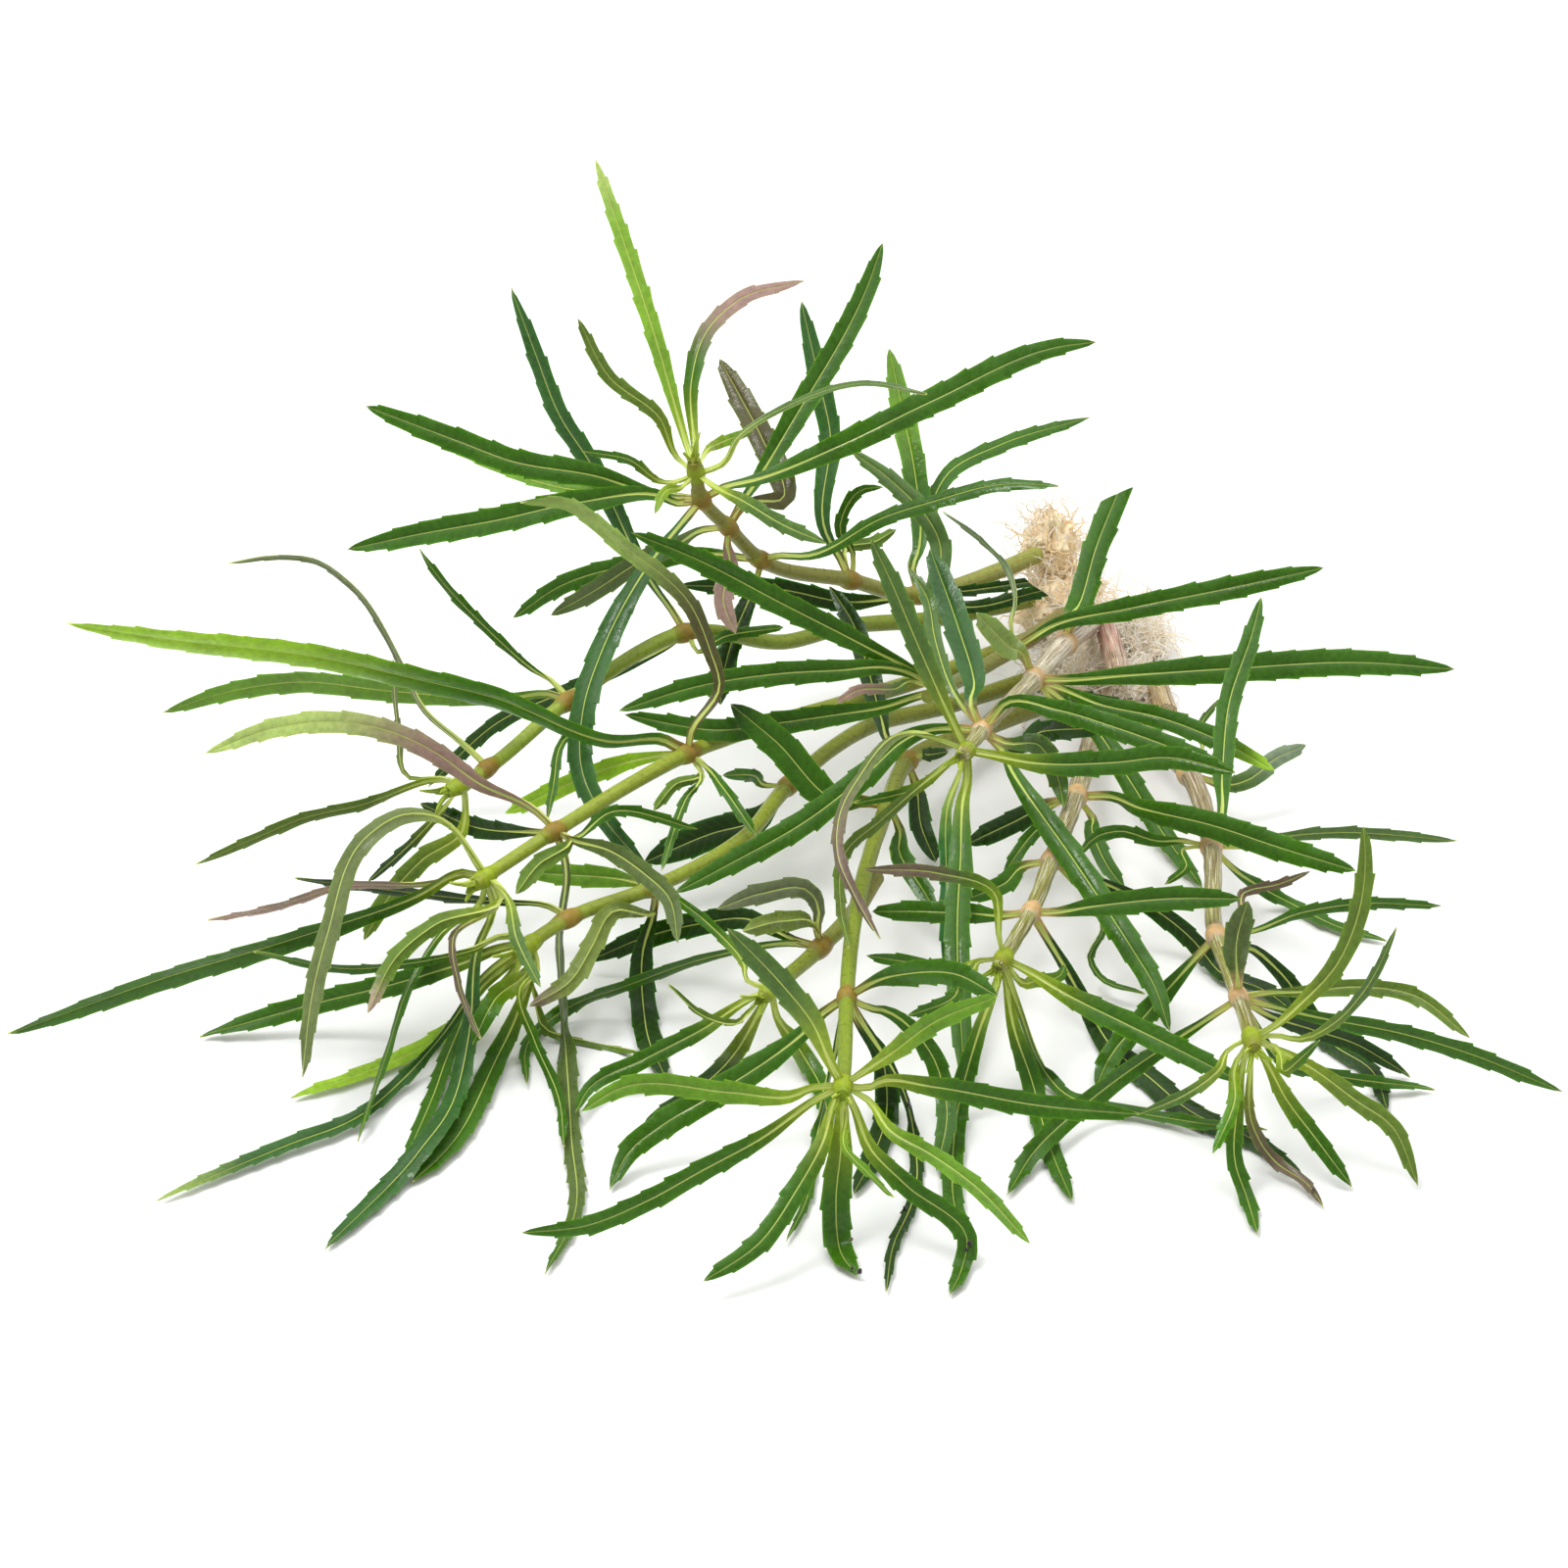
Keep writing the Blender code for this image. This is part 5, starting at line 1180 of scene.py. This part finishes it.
def stalk(name, route, radii, nodes, material, rough):
    """A stem or a stub, streaked and uneven, with a swelling at each node."""
    along = lengths_along(route)
    length = along[-1]
    count = max(12, int(length / STALK_STEP))
    share = np.linspace(0, 1, count)
    radius = STALK_SPREAD * np.interp(share * length, along, radii)
    swell = np.zeros(count)
    for node in nodes:
        swell = np.maximum(swell, np.exp(-(((share - node) * length / SWELLING_REACH) ** 2)))
    bump = np.zeros((count, STALK_SIDES))
    for side, angle in enumerate(np.linspace(0, 2 * math.pi, STALK_SIDES, endpoint=False)):
        for row in range(count):
            height = share[row] * length / (6 * MM)
            spot = Vector((math.cos(angle) * 2.2, math.sin(angle) * 2.2, height))
            bump[row, side] = noise.noise(spot) * rough
    radius = radius + STALK_SWELLING * swell
    rings, angle = round_rings(smooth(route, count), radius, STALK_SIDES, bump)
    height = (share * length / (10 * MM))[:, None]
    grain = np.stack(np.broadcast_arrays(np.cos(angle), np.sin(angle), height), axis=2)
    base, tip = STEM_COLOURS[name]
    tint = mixed(linear(base), linear(tip), eased(share))
    tint = mixed(tint, linear(TAN_NODE[0]), 0.6 * swell)
    sheet = Sheet()
    sheet.loops(rings, {"tint": all_over(tint[:, None, :], rings), "grain": turned(grain)})
    return sheet.finish(name.replace("stem", "stalk").replace("stub", "stump"), material)


class Nodes:
    """A material, and what adds shader nodes to it, each with its inputs, and links them."""

    def __init__(self, name):
        self.material = bpy.data.materials.new(name)
        self.material.use_nodes = True
        self.tree = self.material.node_tree

    def add(self, kind, inputs=None, **settings):
        node = self.tree.nodes.new("ShaderNode" + kind)
        for name, value in settings.items():
            setattr(node, name, value)
        self.fill(node, inputs or {})
        return node

    def fill(self, node, inputs):
        """Each input of a node takes a number or colour, or a link from a socket."""
        for name, value in inputs.items():
            if isinstance(value, bpy.types.NodeSocket):
                self.tree.links.new(value, node.inputs[name])
            else:
                node.inputs[name].default_value = value

    def surface(self, inputs):
        self.fill(self.tree.nodes["Principled BSDF"], inputs)
        return self.material

    def read(self, name, output="Fac"):
        return self.add("Attribute", attribute_name=name).outputs[output]

    def math(self, operation, *values):
        return self.add("Math", dict(enumerate(values)), operation=operation).outputs[0]

    def times(self, first, second):
        return self.math("MULTIPLY", first, second)

    def total(self, first, *others):
        for value in others:
            first = self.math("ADD", first, value)
        return first

    def noise(self, scale, detail=3.0, roughness=0.55, vector=None):
        """Cloudy values, by place on the object unless a vector says otherwise."""
        vector = vector or self.add("TexCoord").outputs["Object"]
        inputs = {"Vector": vector, "Scale": scale, "Detail": detail, "Roughness": roughness}
        return self.add("TexNoise", inputs).outputs["Fac"]

    def spread(self, value, low, high, first=0.0, last=1.0):
        """The value from low to high, run out smoothly to first and last."""
        inputs = {"Value": value, "From Min": low, "From Max": high, "To Min": first, "To Max": last}
        return self.add("MapRange", inputs, interpolation_type="SMOOTHSTEP").outputs["Result"]

    def wander(self, cloud, first, last):
        """A noise's usual range, run out to first and last."""
        return self.spread(cloud, 0.3, 0.7, first, last)

    def mix(self, share, first, second, blend="MIX"):
        inputs = {0: share, 6: first, 7: second}
        return self.add("Mix", inputs, data_type="RGBA", blend_type=blend).outputs[2]

    def shaded(self, colour, light):
        """A colour made darker or lighter."""
        grey = self.add("CombineXYZ", {"X": light, "Y": light, "Z": light}).outputs[0]
        return self.mix(1.0, colour, grey, "MULTIPLY")

    def bump(self, height, strength, distance):
        inputs = {"Height": height, "Strength": strength, "Distance": distance}
        return self.add("Bump", inputs).outputs["Normal"]

    def colour(self, shown):
        return (*linear(shown), 1.0)


def leaf_material():
    """Cloudy green with faint veins, a pale rib and wet patches."""
    nodes = Nodes("leaf_skin")
    fine = nodes.noise(900.0, 4.0, 0.65)
    light = nodes.total(
        nodes.wander(nodes.noise(130.0, 2.0), 0.9, 1.1),
        nodes.wander(fine, -0.14, 0.14),
    )
    body = nodes.shaded(nodes.read("tint", "Vector"), light)
    veins = nodes.math("SINE", nodes.times(nodes.read("vein"), 3.6))
    veins = nodes.spread(veins, 0.55, 1.0)
    body = nodes.mix(nodes.times(veins, 0.05), body, nodes.colour(VEIN_COLOUR))
    rib = nodes.spread(nodes.read("rib"), 0.55, 1.35, 1.0, 0.0)
    rib = nodes.times(rib, nodes.spread(nodes.read("share"), 0.55, 1.0, 0.92, 0.55))
    wet = nodes.spread(nodes.noise(75.0), 0.51, 0.58)
    rough = nodes.total(
        nodes.math("SUBTRACT", 0.5, nodes.times(wet, 0.36)),
        nodes.times(nodes.read("under"), 0.12),
        nodes.wander(fine, -0.06, 0.06),
    )
    height = nodes.total(
        nodes.times(veins, -0.12),
        nodes.times(fine, 0.7),
        nodes.times(nodes.noise(3200.0, 2.0), 0.35),
        nodes.times(nodes.times(wet, nodes.noise(1500.0, 2.0)), 1.6),
    )
    return nodes.surface({
        "Base Color": nodes.mix(rib, body, nodes.colour(RIB_COLOUR)),
        "Roughness": rough,
        "Normal": nodes.bump(height, 0.4, 0.12 * MM),
        "Specular IOR Level": 0.28,
        "Subsurface Weight": 0.25,
        "Subsurface Scale": 0.5 * MM,
        "Subsurface Radius": (0.5, 1.0, 0.1),
    })


def stem_material(name, streak, pale_streak, rough, strength):
    """A skin with streaks along the stem, both darker and paler than it."""
    nodes = Nodes(name)
    stretched = nodes.add(
        "Mapping", {"Vector": nodes.read("grain", "Vector"), "Scale": (6.0, 6.0, 0.7)}
    )
    streaks = nodes.noise(1.5, 4.0, 0.6, stretched.outputs[0])
    fine = nodes.noise(1100.0)
    dark = nodes.spread(streaks, 0.5, 0.62, 0.0, strength)
    pale = nodes.spread(streaks, 0.34, 0.47, strength, 0.0)
    body = nodes.mix(dark, nodes.read("tint", "Vector"), nodes.colour(streak))
    body = nodes.mix(pale, body, nodes.colour(pale_streak))
    return nodes.surface({
        "Base Color": nodes.shaded(body, nodes.wander(fine, 0.88, 1.1)),
        "Roughness": nodes.wander(fine, rough - 0.08, rough + 0.08),
        "Normal": nodes.bump(nodes.total(streaks, nodes.times(fine, 0.3)), 0.5, 0.2 * MM),
    })


def root_material():
    """Soft pale fibre with tan stains."""
    nodes = Nodes("root_fibre")
    fine = nodes.noise(1500.0)
    stain = nodes.spread(nodes.noise(260.0), 0.5, 0.7, 0.0, 0.3)
    body = nodes.mix(stain, nodes.read("tint", "Vector"), nodes.colour(ROOT_STAIN))
    return nodes.surface({
        "Base Color": nodes.shaded(body, nodes.wander(fine, 0.8, 1.15)),
        "Roughness": 0.75,
        "Sheen Weight": 0.7,
        "Sheen Roughness": 0.4,
        "Sheen Tint": (1.0, 0.96, 0.88, 1.0),
        "Subsurface Weight": 0.3,
        "Subsurface Scale": 1.5 * MM,
        "Subsurface Radius": (1.0, 0.85, 0.65),
        "Normal": nodes.bump(fine, 0.4, 0.15 * MM),
    })


def directions(rows, sides, trim):
    """Directions all round as rings from below to above, which stop a little short of the poles."""
    tilts = np.linspace(trim - 0.5 * math.pi, 0.5 * math.pi - trim, rows)
    turns = np.linspace(0, 2 * math.pi, sides, endpoint=False)
    return np.array([
        [[math.cos(up) * math.cos(turn), math.cos(up) * math.sin(turn), math.sin(up)] for turn in turns]
        for up in tilts
    ])


def core_reach(way, centre, size):
    """How far the core of a root lump goes out in one direction, as a share of the lump."""
    reach = size + 0.5 * noise.noise(Vector(way * 2.2 + centre * 90))
    reach = reach + 0.22 * noise.noise(Vector(way * 7.0 + centre * 90))
    return max(reach, LEAST_CORE)


def core_rings(centre, halves, size):
    ways = directions(*CORE_GRID)
    shares = np.array([[core_reach(way, centre, size) for way in row] for row in ways])
    rings = centre + ways * halves * shares[..., None]
    rings[..., 2] = np.maximum(rings[..., 2], CORE_FLOOR)
    return rings


def stray(draw, amount):
    return np.array([draw.gauss(0, amount) for _ in range(3)])


def fibre_rings(centre, halves, draw):
    """Rings round a fibre that wanders out of a root lump."""
    way = unit(stray(draw, 1))
    way[2] = abs(way[2]) if centre[2] < LOW_LUMP else way[2]
    path = [centre + way * halves * draw.uniform(*FIBRE_STARTS)]
    heading = unit(way + stray(draw, 0.8))
    length = draw.uniform(*FIBRE_LENGTHS) * MM
    for _ in range(FIBRE_STEPS):
        heading = unit(heading + stray(draw, 0.5) - [0, 0, 0.05])
        following = path[-1] + heading * length / FIBRE_STEPS
        following[2] = max(following[2], FIBRE_FLOOR)
        path.append(following)
    radii = draw.uniform(*FIBRE_RADII) * MM * np.linspace(1.0, 0.4, FIBRE_STEPS + 1)
    return round_rings(np.array(path), radii, 4)[0]


def root_mass(material):
    """Fibres that wander out of the root lumps, over a rough core."""
    draw = random.Random(11)
    sheet = Sheet()
    lumps = []
    for (x, y, depth), (width, height, deep) in ROOT_LUMPS:
        lumps.append((place(x, y, depth * MM), np.array([width, deep, height]) * MM))
    for number, (centre, halves) in enumerate(lumps):
        is_tan = number < TAN_LUMPS
        rings = core_rings(centre, halves, CORE_SIZES[is_tan])
        sheet.loops(rings, {"tint": all_over(linear(TAN_CORE if is_tan else PALE_CORE), rings)})
    for _ in range(FIBRES):
        number = draw.randrange(len(lumps))
        rings = fibre_rings(*lumps[number], draw)
        shown = draw.choice(TAN_FIBRES if number < TAN_LUMPS else PALE_FIBRES)
        sheet.loops(rings, {"tint": all_over(linear(shown), rings)})
    return sheet.finish("root_fibres", material)


def crumbs(blades, material):
    """Crumbs of dark soil that cling to the leaves, each on the leaf nearest to it in the picture."""
    draw = random.Random(5)
    sheet = Sheet()
    points = np.concatenate([blade.points for blade in blades])
    normals = np.concatenate([blade.normal for blade in blades])
    columns, lines, depths = seen(points)
    ways = directions(*CRUMB_GRID)
    for x, y, size in CRUMBS:
        away = np.hypot(columns - x, lines - y)
        near = np.flatnonzero(away < away.min() + CRUMB_CHOICE)
        chosen = near[np.argmax(depths[near])]
        centre = points[chosen] + normals[chosen] * CRUMB_RISE
        centre = centre + place(x, y, 0.0) - place(columns[chosen], lines[chosen], 0.0)
        shares = np.array([[[draw.uniform(0.7, 1.1)] for _ in row] for row in ways])
        rings = centre + ways * 0.5 * size * PIXEL * shares
        sheet.loops(rings, {"tint": all_over(linear(SOIL_COLOUR), rings)})
    return sheet.finish("soil_crumbs", material)


def dressed(piece, node):
    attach(piece, "root")
    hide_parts(node)


def make_whorl(name, blades, material):
    """The leaves of one node with the node's swelling, and at a growing tip its young leaves."""
    stem, index, tints, _ = WHORLS[name]
    centre, axis, radius = node_of(stem, index)
    draw = random.Random(name)
    growing = name.endswith("_tip")
    node = OLD_NODE if stem in OLD_STEMS else TAN_NODE
    node = LIME_NODE if growing else node
    sheet = Sheet()
    own = [blade for blade in blades if blade.whorl == name]
    for number, (blade, tint) in enumerate(zip(own, tints.split())):
        leaf_skin(sheet, blade, tint, node, draw, FITTED.get((name, number), 1.0))
    collar(sheet, centre, axis, radius, node[0], STEM_COLOURS[stem][growing])
    if growing:
        young_leaves(sheet, stem_points(STEMS[stem])[-1], axis, draw)
    return sheet.finish(name.replace("whorl", "leaves"), material)


def make_plant():
    blades = all_blades()
    skin = leaf_material()
    for name in WHORLS:
        dressed(make_whorl(name, blades, skin), name)
    fresh = stem_material("stem_skin", *GREEN_SKIN)
    old = stem_material("old_stem_skin", *OLD_SKIN)
    for name, route in STEMS.items():
        points = stem_points(route)
        is_old = name in OLD_STEMS
        look = (old, OLD_ROUGHNESS) if is_old else (fresh, GREEN_ROUGHNESS)
        piece = stalk(name, points, stem_radii(name, points), node_parts(name), *look)
        dressed(piece, name)
    for name, route in STUBS.items():
        points = stem_points(route)
        radii = np.full(len(points), STEM_OLD_RADIUS)
        dressed(stalk(name, points, radii, [], old, STUB_ROUGHNESS), name)
    pale = root_material()
    dressed(root_mass(pale), "roots")
    soil = crumbs(blades, pale)
    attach(soil, "root")


def make_camera():
    camera = added("camera", bpy.data.cameras.new("camera"))
    turn = Matrix([VIEW_RIGHT, VIEW_UP, VIEW_TOWARD]).transposed().to_4x4()
    camera.matrix_world = Matrix.Translation(REFERENCE + VIEW_DISTANCE * VIEW_TOWARD) @ turn
    camera.data.sensor_width = SENSOR_WIDTH
    camera.data.lens = SENSOR_WIDTH * VIEW_DISTANCE / (2 * PICTURE_MIDDLE * PIXEL)
    camera.data.clip_start = 0.01
    camera.data.clip_end = 20.0
    bpy.context.scene.camera = camera


def make_floor():
    mesh = bpy.data.meshes.new("floor")
    corners = [(x * FLOOR_REACH, y * FLOOR_REACH, 0) for x, y in ((-1, -1), (1, -1), (1, 1), (-1, 1))]
    mesh.from_pydata(corners, [], [(0, 1, 2, 3)])
    nodes = Nodes("floor")
    mesh.materials.append(nodes.surface({"Base Color": (0.93, 0.93, 0.93, 1), "Roughness": 0.6}))
    floor = added("floor", mesh)


def make_light(name, spot, size, power):
    """A square lamp that faces the middle of the bunch."""
    data = bpy.data.lights.new(name, "AREA")
    data.shape = "SQUARE"
    data.size = size
    data.energy = power
    light = added(name, data)
    light.location = spot
    light.rotation_euler = (Vector(LAMP_TARGET) - Vector(spot)).to_track_quat("-Z", "Y").to_euler()


def make_lights():
    world = bpy.data.worlds.new("studio")
    bpy.context.scene.world = world
    world.use_nodes = True
    background = world.node_tree.nodes["Background"]
    background.inputs["Color"].default_value = (1, 1, 1, 1)
    background.inputs["Strength"].default_value = 0.5
    for name, details in LAMPS.items():
        make_light(name, *details)
    bpy.context.scene.view_settings.view_transform = "Standard"


make_plant()
make_camera()
make_floor()
make_lights()
